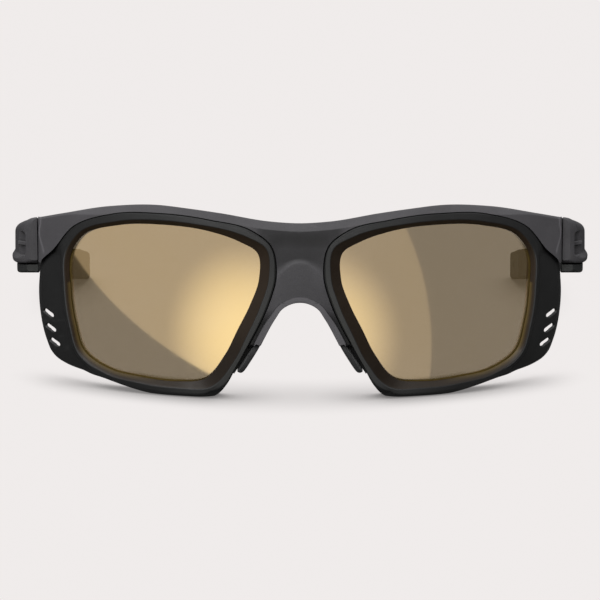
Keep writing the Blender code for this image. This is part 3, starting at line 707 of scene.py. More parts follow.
BROW = half_path(BROW_TOP)
ARCH = half_path(NOSE_ARCH)
ARM_END = straight(NOSE_ARCH[-1], NOSE_TONGUE[0], 8)
ARM_SIDE = np.concatenate(
    [straight(NOSE_TONGUE[0], NOSE_TONGUE[1], 8), straight(NOSE_TONGUE[1], NOSE_TONGUE[2], 8)[1:]]
)
TONGUE = np.concatenate([ARM_END, ARM_SIDE[1:]])
SIDE = straight((ENDPIECE_SIDE, ENDPIECE_FOOT), BROW_TOP[-1])
CENTRE_LINE = straight(BROW_TOP[0], NOSE_ARCH[0])


def direction_to(point):
    """Direction of a point from the lens centre, from zero to a full turn."""
    angle = math.atan2(point[1] - LENS_CENTRE[1], point[0] - LENS_CENTRE[0])
    return angle % (2 * math.pi)


def frame_stations(stretches, counts):
    """Pairs of a direction to the rim seam and an outer edge point, even along each stretch."""
    stations = []
    for path, count in zip(stretches, counts):
        walked = walked_length(path)
        shares = np.linspace(0.0, 1.0, count + 1)[bool(stations):]
        start, end = direction_to(path[0]), direction_to(path[-1])
        for share in shares:
            outer = [np.interp(share * walked[-1], walked, path[:, axis]) for axis in (0, 1)]
            stations.append((start + (end - start) * share, np.array(outer)))
    return stations


def distance_to(path, points):
    """Distance of each point to a polyline."""
    start, end = path[:-1], path[1:]
    span = end - start
    offset = points[:, None, :] - start[None]
    share = np.clip((offset * span).sum(-1) / np.maximum((span * span).sum(-1), 1e-12), 0.0, 1.0)
    return np.linalg.norm(offset - share[..., None] * span, axis=-1).min(axis=1)


def round_over(distance, radius):
    """How far a surface falls back beside a rounded edge."""
    inside = np.clip(radius - distance, 0.0, radius)
    return radius - np.sqrt(np.maximum(radius * radius - inside * inside, 0.0))


def frame_measures(points, from_seam):
    """Distances that the frame's surface is worked out from."""
    return {
        "seam": from_seam,
        "brow": distance_to(BROW, points),
        "arch": distance_to(ARCH, points),
        "side": ENDPIECE_SIDE - points[:, 0],
        "tongue": distance_to(TONGUE, points),
    }


def in_dome(x, z, firmness=1.0):
    """One on the dome above the nose arch and zero outside its arc, which fades out at its ends."""
    softness = (0.55 + 0.3 * np.clip(x - 2.0, 0.0, 5.0)) * firmness
    return smoothstep((DOME_TOP - DOME_CURVE * x * x + softness - z) / (2 * softness))


def lip_width(z):
    """The lip along the nose arch is wider down the nose arms."""
    return ARCH_LIP + LIP_SPREAD * smoothstep((24.0 - z) / 6.0)


def arm_fill(z, to_arch):
    """One on the low fill between the lip and the rim, down the nose arms."""
    return smoothstep((to_arch - lip_width(z) - 0.05) / 0.12) * smoothstep((24.5 - z) / 5.0)


def bridge_relief(x, z):
    """The scoop under the brow and the dome above the nose arch."""
    near = 1.0 - smoothstep((x - 5.0) / 4.0)
    scoop = 0.5 * smoothstep((43.5 - z) / 4.0)
    dome = 0.1 - 0.085 * np.clip(DOME_TOP - DOME_CURVE * x * x - z, 0.0, 12.0)
    inside = in_dome(x, z)
    return near * ((1 - inside) * scoop + inside * dome)


def scoop_shade(x, z, to_brow):
    """How much painted shade the scoop under the brow gets, from none to fully."""
    under_brow = smoothstep((to_brow - CHAMFER + 0.1) / 0.3) * smoothstep((z - 31.0) / 6.0)
    return (1.0 - in_dome(x, z, 0.6)) * (0.68 + 0.14 * smoothstep((z - 39.0) / 5.0)) * under_brow


def ridge_shade(from_side, z):
    """The painted highlight along the ridge beside the hinge seam, which leans away from it lower down."""
    centre = 0.4 + 1.1 * smoothstep((38.5 - z) / 5.0) + 0.3 * smoothstep((z - 39.3) / 2.0)
    return smoothstep(1.0 - np.abs(from_side - centre) / 0.42) * smoothstep((z - 32.8) / 1.5)


def frame_front(points, away):
    """Depth of the frame's front face."""
    x, z = points[:, 0], points[:, 1]
    chamfer = CHAMFER * (1.0 - 0.75 * smoothstep((x - 48.0) / 12.0))
    depth = wrap(x, z) + bridge_relief(x, z)
    depth += 0.9 * np.maximum(0.0, chamfer - away["brow"])
    depth += 0.15 * np.maximum(0.0, lip_width(z) - away["arch"]) + 0.9 * arm_fill(z, away["arch"])
    depth += round_over(away["seam"], 0.12)
    depth += round_over(away["brow"], 0.35)
    depth += round_over(away["side"], 0.9)
    depth += round_over(away["arch"], 0.2)
    depth += 2.6 * smoothstep((14.6 - z) / 1.2)
    return depth


def back_depth(surface, x, z):
    """Depth of the frame's back behind the wrapped surface. Towards the hinge the back is flat."""
    arm = (NOSE_ARM_DEPTH - BROW_DEPTH) * smoothstep((30.0 - z) / 8.0)
    endpiece = smoothstep((x - 48.0) / 10.0)
    return (1 - endpiece) * (surface + BROW_DEPTH + arm) + endpiece * ENDPIECE_BACK


def frame_back(points, away, edge_share):
    """Points of the frame's back, whose top slopes down."""
    x, z = points[:, 0], points[:, 1]
    depth = back_depth(wrap(x, z), x, z)
    drop = edge_share * TOP_FALL * (depth - wrap(x, z)) * smoothstep((z - 38.0) / 6.0)
    depth -= round_over(away["brow"], 0.6) + round_over(away["arch"], 0.5)
    return np.stack([x, depth, z - drop], axis=1)


def frame_flange(angle, x, z):
    """Three points of the thin flange behind the rim, which fades out towards the endpiece."""
    width = max(0.05, FLANGE_WIDTH * smoothstep((54.0 - x) / 8.0))
    lip_x, lip_z = ray(angle, rim_reach(angle) + SEAM - width)
    ends = []
    for surface in (wrap(lip_x, lip_z), wrap(x, z)):
        back = back_depth(surface, x, z)
        ends.append((back, min(surface + FLANGE_FRONT, back - 0.4)))
    return np.array([(lip_x, ends[0][0], lip_z), (lip_x, ends[0][1], lip_z), (x, ends[1][1], z)])


def spread_rows(along, away, count):
    """Row positions on a ray, closer together beside edges and creases."""
    nearest = np.minimum.reduce(
        [
            away["seam"], away["brow"], away["arch"], away["side"],
            np.abs(away["brow"] - CHAMFER) + 0.05, np.abs(away["arch"] - lip_width(along["z"])) + 0.05,
            np.abs(DOME_TOP - DOME_CURVE * along["x"] ** 2 - along["z"]) + 0.15 + 2.0 * (along["x"] > 8.0),
        ]
    )
    spacing = np.clip(0.05 + 0.3 * nearest, 0.05, 1.0)
    density = along["length"] / spacing
    walked = np.concatenate([[0.0], np.cumsum((density[1:] + density[:-1]) / 2)])
    return np.interp(np.linspace(0.0, walked[-1], count), walked, along["share"])


def frame_skin(counts, front_count, back_count):
    """Both halves of the frame as one skin that is welded on the centre plane."""
    sections = []
    painted_lights = []
    painted_shades = []
    shares = np.linspace(0.0, 1.0, 140)
    stretches = [SIDE, BROW[::-1], CENTRE_LINE, ARCH, ARM_END, ARM_SIDE]
    for angle, outer in frame_stations(stretches, counts):
        inner = ray(angle, rim_reach(angle) + SEAM)
        if abs(outer[0]) < 1e-6:
            outer[0] = 0.0
        width = np.linalg.norm(outer - inner)
        dense = inner + (outer - inner) * shares[:, None]
        away = frame_measures(dense, shares * width)
        along = {"x": dense[:, 0], "z": dense[:, 1], "length": width, "share": shares}
        front_shares = spread_rows(along, away, front_count)
        back_shares = spread_rows(along, away, back_count)[::-1]
        front = inner + (outer - inner) * front_shares[:, None]
        front_away = frame_measures(front, front_shares * width)
        front_depth = frame_front(front, front_away)
        back = inner + (outer - inner) * back_shares[:, None]
        back_away = frame_measures(back, back_shares * width)
        back = frame_back(back, back_away, back_shares)
        front = np.stack([front[:, 0], front_depth, front[:, 1]], axis=1)
        flange = frame_flange(angle, *inner)
        sections.append(np.concatenate([front, back, flange]))
        x, z = front[:, 0], front[:, 2]
        # Painted light: the lip along the nose arch, the ridge by the hinge seam, and a gentle brightening
        # towards the endpiece.
        lip = smoothstep((lip_width(z) + 0.05 - front_away["arch"]) / 0.1)
        edge = ridge_shade(front_away["side"], z)
        fill = arm_fill(z, front_away["arch"])
        behind = np.zeros(back_count + len(flange))
        outer = 0.2 * smoothstep((x - 38.0) / 16.0)
        painted_front_light = np.maximum.reduce([0.65 * lip * (1 - fill), edge, outer])
        painted_lights.append(np.concatenate([painted_front_light, behind]))
        # Painted shade: a dark line beside the lip, the low fill down the nose arms and the scoop under the
        # brow.
        line = smoothstep((0.16 - np.abs(front_away["arch"] - lip_width(z) - 0.06)) / 0.08)
        line = 0.6 * line * smoothstep((27.2 - z) / 1.5)
        scoop = scoop_shade(x, z, front_away["brow"]) * (1.0 - smoothstep((x - 9.0) / 3.0))
        shade = np.maximum.reduce([scoop, fill, line])
        painted_shades.append(np.concatenate([shade, behind]))
    around = len(sections[0])
    half_points, half_faces = loft(sections, False)
    last = front_count - 1
    kept = []
    for face in half_faces:
        outer_wall = len(face) == 4 and {index % around for index in face} == {last, last + 1}
        on_centre = all(half_points[index][0] == 0.0 for index in face)
        if not (outer_wall and on_centre):
            kept.append(face)
    total = len(half_points)
    mirrored = []
    twin = {}
    for index, x in enumerate(half_points[:, 0]):
        if x == 0.0:
            twin[index] = index
        else:
            twin[index] = total + len(mirrored)
            mirrored.append(index)
    values = {"lift": np.concatenate(painted_lights), "sink": np.concatenate(painted_shades)}
    faces = kept + [tuple(twin[index] for index in reversed(face)) for face in kept]
    points = np.concatenate([half_points, half_points[mirrored] * [-1.0, 1.0, 1.0]])
    return (points, faces), {key: np.concatenate([half, half[mirrored]]) for key, half in values.items()}


def build_frame(material):
    skin, values = frame_skin([24, 130, 60, 90, 14, 16], 50, 26)
    piece = mesh_object("front_frame_shell", skin, values=values)
    for side in SIDES.values():
        changes = []
        for bottom, top in (LOWER_LUG, UPPER_LUG):
            changes.append(("UNION", upright(bottom, top, LUG_RADIUS, 0.2)))
            web = block(
                (HINGE_X - LUG_RADIUS, ENDPIECE_BACK - 0.5, bottom + 0.02),
                (HINGE_X + LUG_RADIUS, HINGE_Y, top - 0.02),
            )
            changes.append(("UNION", web))
        changes.append(("DIFFERENCE", upright(LOWER_LUG[0] - 1, LOWER_LUG[1] + 0.1, SLEEVE_BORE + 0.1)))
        changes.append(("DIFFERENCE", upright(LOWER_LUG[0] - 1, LOWER_LUG[0] + 1.0, SLEEVE_SEAT)))
        changes.append(("DIFFERENCE", upright(UPPER_LUG[0] - 0.1, UPPER_LUG[1] - 0.5, SLEEVE_SEAT)))
        combine(piece, changes, side)
    return finish_piece(piece, "front", "front_frame", [material])


# Rim modules


def nose_turn(angle):
    """A direction in degrees from the one that points at the nose, from -180 to 180."""
    return math.degrees((angle - NOSE_DIRECTION + math.pi) % (2 * math.pi) - math.pi)


def level_turn(angle):
    """A direction in degrees above the level one that points outward, from -180 to 180."""
    return math.degrees((angle + math.pi) % (2 * math.pi) - math.pi)


def bevel_width(angle):
    """The bevel round the lens is widest beside the nose."""
    nose = smoothstep((78.0 - abs(nose_turn(angle))) / 40.0)
    return BEVEL_THIN + (BEVEL_NOSE - BEVEL_THIN) * nose


def shield_depth(angle):
    """How much further back the side shield reaches, low on the outward side."""
    turn = level_turn(angle)
    return SHIELD_DEPTH * smoothstep((turn + 50.0) / 40.0) * smoothstep((9.0 - turn) / 35.0)


def rim_corners(angle):
    """The rim's section at one direction, as distance across it and depth."""
    start = aperture_reach(angle)
    width = rim_reach(angle) - start
    bevel = bevel_width(angle)
    shield = smoothstep((width - bevel - 1.9) / 1.8)
    crown = (1 - shield) * 0.55 * (width - bevel) + shield * 0.75
    step = 0.08 + shield * SHIELD_STEP
    wall_end = RING_BACK + REAR_RIM + shield_depth(angle)
    sheet_back = (1 - shield) * (RING_BACK - 0.5) + shield * (step + SHEET)
    body = (1 - shield) * (width - WALL - 0.35) + shield * (bevel + crown + 0.7)
    corners = [
        (0.0, APERTURE_DEPTH),
        (bevel - 0.35, 0.3),
        (bevel, 0.0),
        (bevel + 0.22, 0.01),
        (bevel + crown, 0.06),
        (bevel + crown + 0.25, step),
        (width - 0.15 - 0.65 * shield, step + 0.04 + 0.56 * shield),
        (width, step + 0.3 + 1.8 * shield),
        (width, wall_end),
        (width - WALL, wall_end),
        (width - WALL, sheet_back),
        (body, sheet_back),
        (body, RING_BACK),
        (BACK_LIP, RING_BACK),
        (BACK_LIP, GROOVE_BACK),
        (GROOVE_WIDTH, GROOVE_BACK),
        (GROOVE_WIDTH, GROOVE_FRONT),
        (0.0, GROOVE_FRONT),
    ]
    return start, bevel, crown, shield, corners


def sheet_front(x, z):
    """Depth of the side shield's front face."""
    angle, distance = directions(np.array([[x, z]]))
    start, _, _, _, corners = rim_corners(float(angle[0]))
    near, far = corners[5], corners[6]
    return wrap(x, z) + float(np.interp(distance[0] - start, [near[0], far[0]], [near[1], far[1]]))


def vent_skin(x, z):
    """A slot cutter along the sight line, whose mouth slopes in from the outer and lower side."""
    mouth = ((0.32, -2.5, 1.0), (0.15, 0.08, 1.0), (0.0, 0.9, 0.0), (0.0, 14.0, 0.0))
    sections = []
    for grow, sink, slide in mouth:
        half_width = VENT_WIDTH / 2 + grow
        corners = oblong(VENT_LENGTH / 2 + grow, half_width)
        start = np.array([x, z]) + slide * np.array(VENT_SLIDE)
        section = []
        for a, b in rounded(corners, [half_width] * 4, 8):
            spot_x, spot_z = start + VENT_ALONG * a + VENT_ACROSS * b
            surface = sheet_front(spot_x, spot_z)
            section.append((spot_x + VENT_AIM[0] * sink, surface + sink, spot_z + VENT_AIM[2] * sink))
        sections.append(section)
    return loft(sections, False)


def shade_vents(piece, side):
    """Paints light on the lower walls inside the vents and paints shade on the upper outer ones."""
    lift = piece.data.attributes["lift"].data
    sink = piece.data.attributes["sink"].data
    for vertex in piece.data.vertices:
        x, y, z = design_place(vertex, side)
        for centre in VENT_CENTRES:
            offset = np.array([x, z]) - centre
            if np.hypot(*offset) < VENT_LENGTH / 2 + 1.0 and 0.3 < y - sheet_front(x, z) < 0.97:
                lift[vertex.index].value = 0.8 * smoothstep((offset @ VENT_ACROSS + 0.1) / 0.5)
                sink[vertex.index].value = smoothstep((-offset @ VENT_ACROSS) / 0.3)


def rim_shades(angle, side, bevel, crown, shield, across, depth):
    """Painted reflection of the lens on the bevel, painted highlight on the crown and on the lip beside the
    shield, painted shade round them, and a painted amber glow on the bevel's inner edge.
    """
    if depth > GROOVE_FRONT - 0.05:
        return 0.0, 0.0, 0.0, 0.0
    turn = nose_turn(angle)
    nose = smoothstep((100.0 - abs(turn)) / 50.0)
    on_crown = bevel - 0.02 < across < bevel + crown + 0.3
    thin_lip = bevel - 0.02 < across < bevel + 0.21
    under_brow = smoothstep((-turn - 10.0) / 35.0)
    # Painted highlight on the crown and on the thin lip beside the shield.
    lift = (1 - shield) * (0.04 + (0.44 - 0.4 * under_brow) * nose) * on_crown + 0.9 * shield * thin_lip
    # Painted shade on the ring's outer band, on the low bevel and on the nose bevel turned from the light.
    low = smoothstep((75.0 - abs(turn - 75.0)) / 35.0)
    on_bevel = across < bevel - 0.1
    outside = (1 - shield) * nose * (across > bevel + crown + 0.3)
    bevel_shade = max(0.45 * low, 0.3 * nose * (side > 0)) * on_bevel
    # Painted amber glow on the bevel's inner edge, on the outward side.
    outward = smoothstep((85.0 - abs(turn - 165.0)) / 30.0)
    amber = 0.8 * outward * (across < 0.3)
    return float(on_bevel), float(lift), float(max(bevel_shade, 0.7 * outside)), float(amber)


def build_rim(side_name, side, material):
    sections = []
    shades = []
    for angle in aperture_angles(RIM_SAMPLES):
        start, bevel, crown, shield, corners = rim_corners(angle)
        section = []
        for across, depth in rounded(corners, RIM_SETBACKS):
            x, z = ray(angle, start + across)
            section.append((x, wrap(x, z) + depth, z))
            shades.append(rim_shades(angle, side, bevel, crown, shield, across, depth))
        sections.append(section)
    values = dict(zip(("tint", "lift", "sink", "amber"), zip(*shades)))
    piece = mesh_object(f"rim_{side_name}", loft(sections, True), side, values)
    combine(piece, [("DIFFERENCE", vent_skin(x, z)) for x, z in VENT_CENTRES], side)
    shade_vents(piece, side)
    return finish_side(piece, side_name, "rim_module", "rim_shield", [material])


def build_lens(side_name, side, materials):
    angles = aperture_angles(200)
    shares = 1.0 - (1.0 - np.linspace(0.0, 1.0, 26)[1:]) ** 1.4
    points = []
    faces = []
    kinds = []
    edges = []
    count = len(angles)
    for depth in (LENS_FRONT, LENS_FRONT + LENS_THICKNESS):
        x, z = LENS_CENTRE
        points.append((x, wrap(x, z) + depth, z))
        edges.append(0.0)
        for share in shares:
            for angle in angles:
                distance = share * (aperture_reach(angle) + LENS_OVERLAP)
                x, z = ray(angle, distance)
                points.append((x, wrap(x, z) + depth, z))
                # Where the painted amber glow lies: a thin band along the outward edge.
                inside = aperture_reach(angle) - distance
                turn = level_turn(angle)
                outward = smoothstep((turn + 130.0) / 30.0) * smoothstep((40.0 - turn) / 20.0)
                edges.append(outward * smoothstep((0.75 - inside) / 0.25))
    size = 1 + len(shares) * count
    for k in range(count):
        m = (k + 1) % count
        faces.append((0, 1 + k, 1 + m))
        faces.append((size, size + 1 + m, size + 1 + k))
        kinds += [0, 1]
        for row in range(len(shares) - 1):
            a = 1 + row * count
            b = a + count
            faces.append((a + k, b + k, b + m, a + m))
            faces.append((size + a + k, size + a + m, size + b + m, size + b + k))
            kinds += [0, 1]
        rim = 1 + (len(shares) - 1) * count
        faces.append((rim + k, size + rim + k, size + rim + m, rim + m))
        kinds.append(2)
    piece = mesh_object(f"lens_plate_{side_name}", (points, faces), side, {"edge": edges})
    for polygon, kind in zip(piece.data.polygons, kinds):
        polygon.material_index = kind
    return finish_side(piece, side_name, "rim_module", "lens", materials)


# Nose pads


def pad_point(along, depth, inward):
    """A point of the nose pad: along the nose arm, behind the front, and in from its nose face."""
    upwards = (PAD_TOP - PAD_FOOT) / np.linalg.norm(PAD_TOP - PAD_FOOT)
    towards_lens = np.array([upwards[1], -upwards[0]])
    splay = PAD_SPLAY * max(0.0, depth - 8.0) ** 2
    x, z = PAD_TOP + upwards * along + towards_lens * (splay - inward)
    return (x, depth, z)


def build_pad(side_name, side, material):
    leaf = smooth_path(PAD_LEAF, closed=True, per_span=12)
    middle = leaf.mean(axis=0)
    back = -PAD_THICKNESS - PAD_BACKING
    rings = [(share, back) for share in (0.03, 0.2, 0.4, 0.6, 0.8, 0.97)] + [(1.0, back + 0.15)]
    for step in range(8):
        turn = math.pi / 2 * step / 7
        rings.append((0.91 + 0.09 * math.cos(turn), PAD_ROUND * (math.sin(turn) - 1.0)))
    rings += [(share, -0.06 * (1 - share**2)) for share in (0.78, 0.6, 0.4, 0.2, 0.03)]
    sections = []
    for scale, inward in rings:
        sections.append([pad_point(*(middle + (point - middle) * scale), inward) for point in leaf])
    piece = mesh_object(f"nose_pad_cushion_{side_name}", loft(sections, False), side)
    return finish_piece(piece, "front", f"nose_pad_{side_name}", [material])


# Temples


def station_row(table, y):
    """Inner side, outer side, bottom and top at a depth."""
    return [float(np.interp(y, table[:, 0], table[:, column])) for column in range(1, 5)]


def closed_ends(sections, start_round, end_round):
    """Adds shrinking sections at both ends, so that the end faces have rounded edges."""
    first, last = np.asarray(sections[0]), np.asarray(sections[-1])
    before = [scaled_ring(first, factor) for factor in (1 - 2 * start_round, 1 - start_round)]
    after = [scaled_ring(last, factor) for factor in (1 - end_round, 1 - 2 * end_round)]
    return before + [np.asarray(section) for section in sections] + after


def temple_section(y, row):
    """The arm's section: the bulge has a shelf low on its outer side, and the arm is a soft oblong."""
    x_in, x_out, z_lo, z_hi = row
    bulge = smoothstep((BULGE_END - y) / 8.0)
    shelf = z_lo + 1.3
    inset = 0.8 + 0.5 * smoothstep((34.0 - y) / 3.0)
    upper = x_out - inset * bulge * smoothstep((y - 27.8) / 2.5)
    corners = [
        (x_in, z_lo), (x_out - 0.15, z_lo), (x_out, shelf), (upper, shelf + 1.25),
        (upper - 0.1, z_hi - 1.7 * bulge - 0.1), ((x_in + upper) / 2, z_hi - 0.3 * bulge), (x_in, z_hi),
    ]
    return cross_section(y, corners, [0.5, 0.9, 0.3, 0.3, 1.5, 2.0, 0.3], 6)


def window_changes():
    """The window's cutter, and the bar that is put back across the middle of it."""
    outward = Vector(WINDOW_OUTWARD)
    surface = Vector(WINDOW_CENTRE)
    cutter = rounded_bar(
        surface - outward * 0.1, (0, 0, 1), -outward, WINDOW_HEIGHT, WINDOW_WIDTH, WINDOW_RADIUS,
        -2.5, WINDOW_DEPTH, 0.25,
    )
    depth = WINDOW_DEPTH + 0.2 - BAR_RECESS
    middle = surface - outward * (BAR_RECESS + depth / 2)
    half = WINDOW_WIDTH / 2 + 0.2
    bar = rounded_bar(middle, outward, WINDOW_LEVEL, depth, BAR_HEIGHT, 0.4, -half, BAR_LENGTH - half)
    return [("DIFFERENCE", cutter), ("UNION", bar)]


def shade_window(piece, side):
    """Paints shade into the window's hollow, most in its upper part."""
    sink = piece.data.attributes.new("sink", "FLOAT", "POINT").data
    for vertex in piece.data.vertices:
        offset = design_place(vertex, side) - WINDOW_CENTRE
        across = abs(offset @ WINDOW_LEVEL) < WINDOW_WIDTH / 2 + 0.05
        within = abs(offset[2]) < WINDOW_HEIGHT / 2 + 0.05
        if across and within and -WINDOW_DEPTH - 0.05 < offset @ WINDOW_OUTWARD < -0.6:
            sink[vertex.index].value = 0.15 + 0.4 * smoothstep((offset[2] - 0.3) / 0.3)


def core_line(y):
    """Middle of the arm near the joint between the arm and the tip, as a straight line."""
    share = (y - CORE_START[1]) / (CORE_END[1] - CORE_START[1])
    return Vector(CORE_START + (CORE_END - CORE_START) * share)


def build_temple(side_name, side, material):
    table = smooth_path(TEMPLE_STATIONS, closed=False)
    start, end = TEMPLE_STATIONS[0][0], TEMPLE_STATIONS[-1][0]
    depths = np.concatenate([np.linspace(start, BULGE_END, 60), np.linspace(BULGE_END, end, 60)[1:]])
    sections = [temple_section(y, station_row(table, y)) for y in depths]
    sections = closed_ends(sections, 0.02, 0.04)
    piece = mesh_object(f"temple_arm_shell_{side_name}", loft(sections, False), side)
    low = (HINGE_X, HINGE_Y - 1.9, KNUCKLE[0] + 0.02)
    high = (69.0, HINGE_Y + LUG_RADIUS, KNUCKLE[1] - 0.02)
    tongue = block(low, high)
    changes = [
        ("UNION", upright(*KNUCKLE, LUG_RADIUS, 0.2)),
        ("UNION", tongue),
        ("DIFFERENCE", upright(KNUCKLE[0] - 1, KNUCKLE[1] + 1, SLEEVE_SEAT)),
        ("DIFFERENCE", rod(core_line(87.5), core_line(99.0), CORE_BORE, 24)),
    ]
    combine(piece, changes + window_changes(), side)
    shade_window(piece, side)
    return finish_side(piece, side_name, "temple_arm", "temple", [material])


def tip_section(y, row):
    """The rubber tip's section, whose ribs are shallow waves along both sides."""
    x_in, x_out, z_lo, z_hi = row
    z_lo = max(z_lo, 0.0)
    ribbed = smoothstep((y - RIBS[0]) / 1.5) * smoothstep((RIBS[1] - y) / 1.5)
    wave = 0.5 - 0.5 * math.cos(2 * math.pi * (y - RIBS[0]) / RIB_PITCH)
    rib = RIB_DEPTH * ribbed * wave**2
    return cross_section(y, slab(x_in + rib, x_out - rib, z_lo, z_hi), [0.7, 0.7, 0.9, 0.9], 6)


def build_tip(side_name, side, material):
    table = smooth_path(TIP_STATIONS, closed=False)
    first, last = RIBS[0] - 1.0, RIBS[1] + 1.5
    plain = np.linspace(TIP_STATIONS[0][0], first, 12)
    end = np.linspace(last, TIP_STATIONS[-1][0], 28)
    depths = np.concatenate([plain, np.linspace(first, last, 110)[1:], end[1:]])
    sections = closed_ends([tip_section(y, station_row(table, y)) for y in depths], 0.03, 0.05)
    piece = mesh_object(f"temple_tip_sleeve_{side_name}", loft(sections, False), side)
    y, z = CORD_HOLE
    changes = [
        ("DIFFERENCE", rod(core_line(96.0), core_line(112.4), CORE_BORE, 24)),
        ("DIFFERENCE", rod((58.0, y, z), (70.0, y, z), CORD_RADIUS, 32)),
    ]
    combine(piece, changes, side)
    return finish_side(piece, side_name, "temple_arm", "temple_tip", [material])


def build_cover(side_name, side, material):
    table = smooth_path(COVER_STATIONS, closed=False)
    sections = []
    for y in np.linspace(COVER_STATIONS[0][0], COVER_STATIONS[-1][0], 50):
        sections.append(cross_section(y, slab(*station_row(table, y)), [0.25, 0.6, 0.35, 0.25], 5))
    skin = loft(closed_ends(sections, 0.05, 0.08), False)
    piece = mesh_object(f"hinge_cover_plate_{side_name}", skin, side)
    groove = block(*COVER_GROOVE)
    combine(piece, [("DIFFERENCE", groove)], side)
    return finish_side(piece, side_name, "temple_arm", "hinge_cover", [material])


# Studio

FLOOR_COLOUR = (0.8714, 0.8388, 0.8308)
CONTACT_REACH = 0.0145
# Depth and reach of the painted shadow under the front.
SHADE_DEPTH = 0.2
SHADE_REACH = 0.021
AMBIENT = 0.66
SUN_STRENGTH = 1.45


def reflected_studio(graph, direction):
    """What the mirror film sees: two dark cards low at the sides and a soft pool of light in front."""
    side = graph.node("ShaderNodeSeparateXYZ", {0: direction}).outputs
    right_card = graph.ramp(graph.dot(direction, (0.364, -0.371, 0.854)), -0.427, -0.415)
    left_card = graph.ramp(graph.dot(direction, (-0.459, -0.783, -0.421)), 0.468, 0.484)
    level = graph.ramp(side[0], -0.35, 0.35, 0.335, 0.235)
    pool = graph.ramp(graph.dot(direction, (-0.10, -0.861, -0.499)), 0.855, 1.035, 0.0, 0.862)
    bright = graph.math("ADD", level, pool)
    bright = graph.math("ADD", bright, graph.ramp(side[2], 0.15, 0.9, 0.0, 0.6))
    lit = graph.math("MULTIPLY", right_card, left_card)
    lit = graph.math("MAXIMUM", lit, graph.ramp(side[2], 0.1, 0.4))
    value = graph.math("ADD", 0.08, graph.math("MULTIPLY", lit, graph.math("SUBTRACT", bright, 0.08)))
    return value, graph.blend(pool, (1.0, 1.0, 1.0), (1.0, 1.02, 0.80))


def build_world():
    world = bpy.data.worlds.new("studio")
    bpy.context.scene.world = world
    graph = Graph(world)
    direction = graph.node("ShaderNodeTexCoord").outputs["Generated"]
    path = graph.node("ShaderNodeLightPath").outputs
    height = graph.node("ShaderNodeSeparateXYZ", {0: direction}).outputs[2]
    soft = graph.ramp(height, -0.3, 0.9, 0.10, 1.25)
    glossy, warmth = reflected_studio(graph, direction)
    value = graph.math("MULTIPLY", soft, AMBIENT)
    value = graph.math("MULTIPLY", value, graph.math("SUBTRACT", 1.0, path["Is Glossy Ray"]))
    value = graph.math("ADD", value, graph.math("MULTIPLY", glossy, path["Is Glossy Ray"]))
    colour = graph.blend(path["Is Glossy Ray"], (1.0, 1.0, 1.0), warmth)
    colour = graph.blend(path["Is Camera Ray"], colour, FLOOR_COLOUR)
    strength = graph.math("MAXIMUM", value, path["Is Camera Ray"])
    background = graph.node("ShaderNodeBackground", {"Color": colour, "Strength": strength})
    graph.node("ShaderNodeOutputWorld", {"Surface": background.outputs[0]})


def overhead_shade(graph):
    """A painted soft shadow under the curved front, which follows its wrap."""
    x, y, _ = graph.node("ShaderNodeSeparateXYZ", {0: graph.place()}).outputs
    bend = graph.math("DIVIDE", graph.math("MULTIPLY", x, x), 2 * WRAP_RADIUS * MM)
    middle = graph.math("ADD", bend, (SHIFT + 8.0) * MM)
    away = graph.math("ABSOLUTE", graph.math("SUBTRACT", y, middle))
    band = graph.ramp(away, 0.0, SHADE_REACH, SHADE_DEPTH, 0.0)
    inward = graph.ramp(graph.math("ABSOLUTE", x), 0.02, 0.06, 1.0, 0.0)
    return graph.math("SUBTRACT", 1.0, graph.math("MULTIPLY", band, inward))


def build_floor():
    material = bpy.data.materials.new("pale_floor")
    graph = Graph(material)
    cloud = graph.noise(3.0, 2.0, vector=graph.place())
    shade = graph.blend(cloud, [c * 0.995 for c in FLOOR_COLOUR], FLOOR_COLOUR)
    contact = graph.node("ShaderNodeAmbientOcclusion", {"Distance": CONTACT_REACH}, samples=16)
    contact = graph.ramp(contact.outputs["AO"], 0.15, 0.96, 0.27, 1.0)
    level = graph.math("MULTIPLY", contact, overhead_shade(graph))
    shader = graph.node("ShaderNodeEmission", {"Color": shade, "Strength": level})
    graph.show(shader)
    mesh = bpy.data.meshes.new("floor")
    reach, drop = 4.0, -0.00005
    corners = [(-reach, -reach, drop), (reach, -reach, drop), (reach, reach, drop), (-reach, reach, drop)]
    mesh.from_pydata(corners, [], [(0, 1, 2, 3)])
    mesh.materials.append(material)
    floor = bpy.data.objects.new("floor", mesh)
    bpy.context.collection.objects.link(floor)
    floor.visible_glossy = False
    floor.visible_diffuse = False


def build_sun():
    sun = bpy.data.lights.new("soft_key", "SUN")
    sun.energy = SUN_STRENGTH
    sun.angle = math.radians(50.0)
    lamp = bpy.data.objects.new("soft_key", sun)
    bpy.context.collection.objects.link(lamp)
    towards = Vector((-0.2, -0.77, 0.6))
    lamp.rotation_euler = (-towards).to_track_quat("-Z", "Y").to_euler()


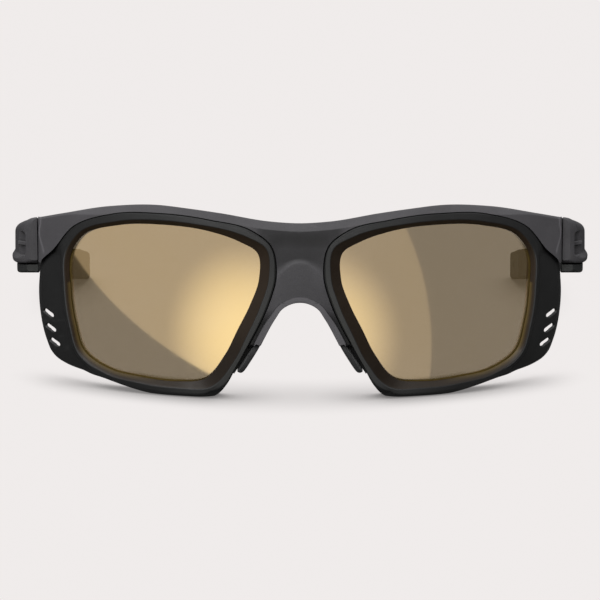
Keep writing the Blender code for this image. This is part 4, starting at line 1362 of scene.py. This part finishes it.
def build_camera():
    camera = bpy.data.cameras.new("camera")
    camera.lens = CAMERA_LENS
    camera.sensor_width = 36.0
    camera.clip_start = 0.05
    camera.clip_end = 20.0
    holder = bpy.data.objects.new("camera", camera)
    bpy.context.collection.objects.link(holder)
    back = Vector((0.0, -math.cos(CAMERA_RISE), math.sin(CAMERA_RISE)))
    target = Vector((0.0, SHIFT, CAMERA_TARGET))
    holder.location = (target + back * CAMERA_DISTANCE) * MM
    holder.rotation_euler = (-back).to_track_quat("-Z", "Y").to_euler()
    bpy.context.scene.camera = holder
    bpy.context.scene.view_settings.view_transform = "Standard"


# Assembly


def dress_hardware(metals):
    """Gives the small hinge parts that stay as CAD nodes their own materials."""
    for name, node in frame["nodes"].items():
        for word, material in metals.items():
            if word in name:
                node.data.materials.clear()
                node.data.materials.append(material)


def build():
    grey = moulded_plastic("grey_nylon", (0.0755, 0.0725, 0.0775), 0.52, 0.35, 0.35)
    # Painted reflection of the amber lens on the rim's bevel.
    painted_bevel_reflection = (0.030, 0.019, 0.011)
    black = moulded_plastic("black_nylon", (0.022, 0.022, 0.022), 0.42, 0.22, 0.35, 4.0, painted_bevel_reflection)
    cover = moulded_plastic("cover_nylon", (0.026, 0.027, 0.027), 0.55, 0.35)
    rubber = soft_rubber("black_rubber", (0.030, 0.030, 0.031))
    steel = machined_metal("turned_steel", (0.55, 0.55, 0.56), 0.30)
    brass = machined_metal("turned_brass", (0.70, 0.52, 0.22), 0.30)
    nylon = moulded_plastic("natural_nylon", (0.55, 0.54, 0.50), 0.5, 0.2)
    lens_materials = [mirror_lens("gold_mirror_film"), lens_back("amber_back"), lens_edge("amber_edge")]
    build_frame(grey)
    for side_name, side in SIDES.items():
        build_rim(side_name, side, black)
        build_lens(side_name, side, lens_materials)
        build_pad(side_name, side, rubber)
        build_temple(side_name, side, grey)
        build_tip(side_name, side, rubber)
        build_cover(side_name, side, cover)
    dress_hardware({"screw": steel, "core": steel, "insert": brass, "bush": nylon})
    build_world()
    build_floor()
    build_sun()
    build_camera()


build()
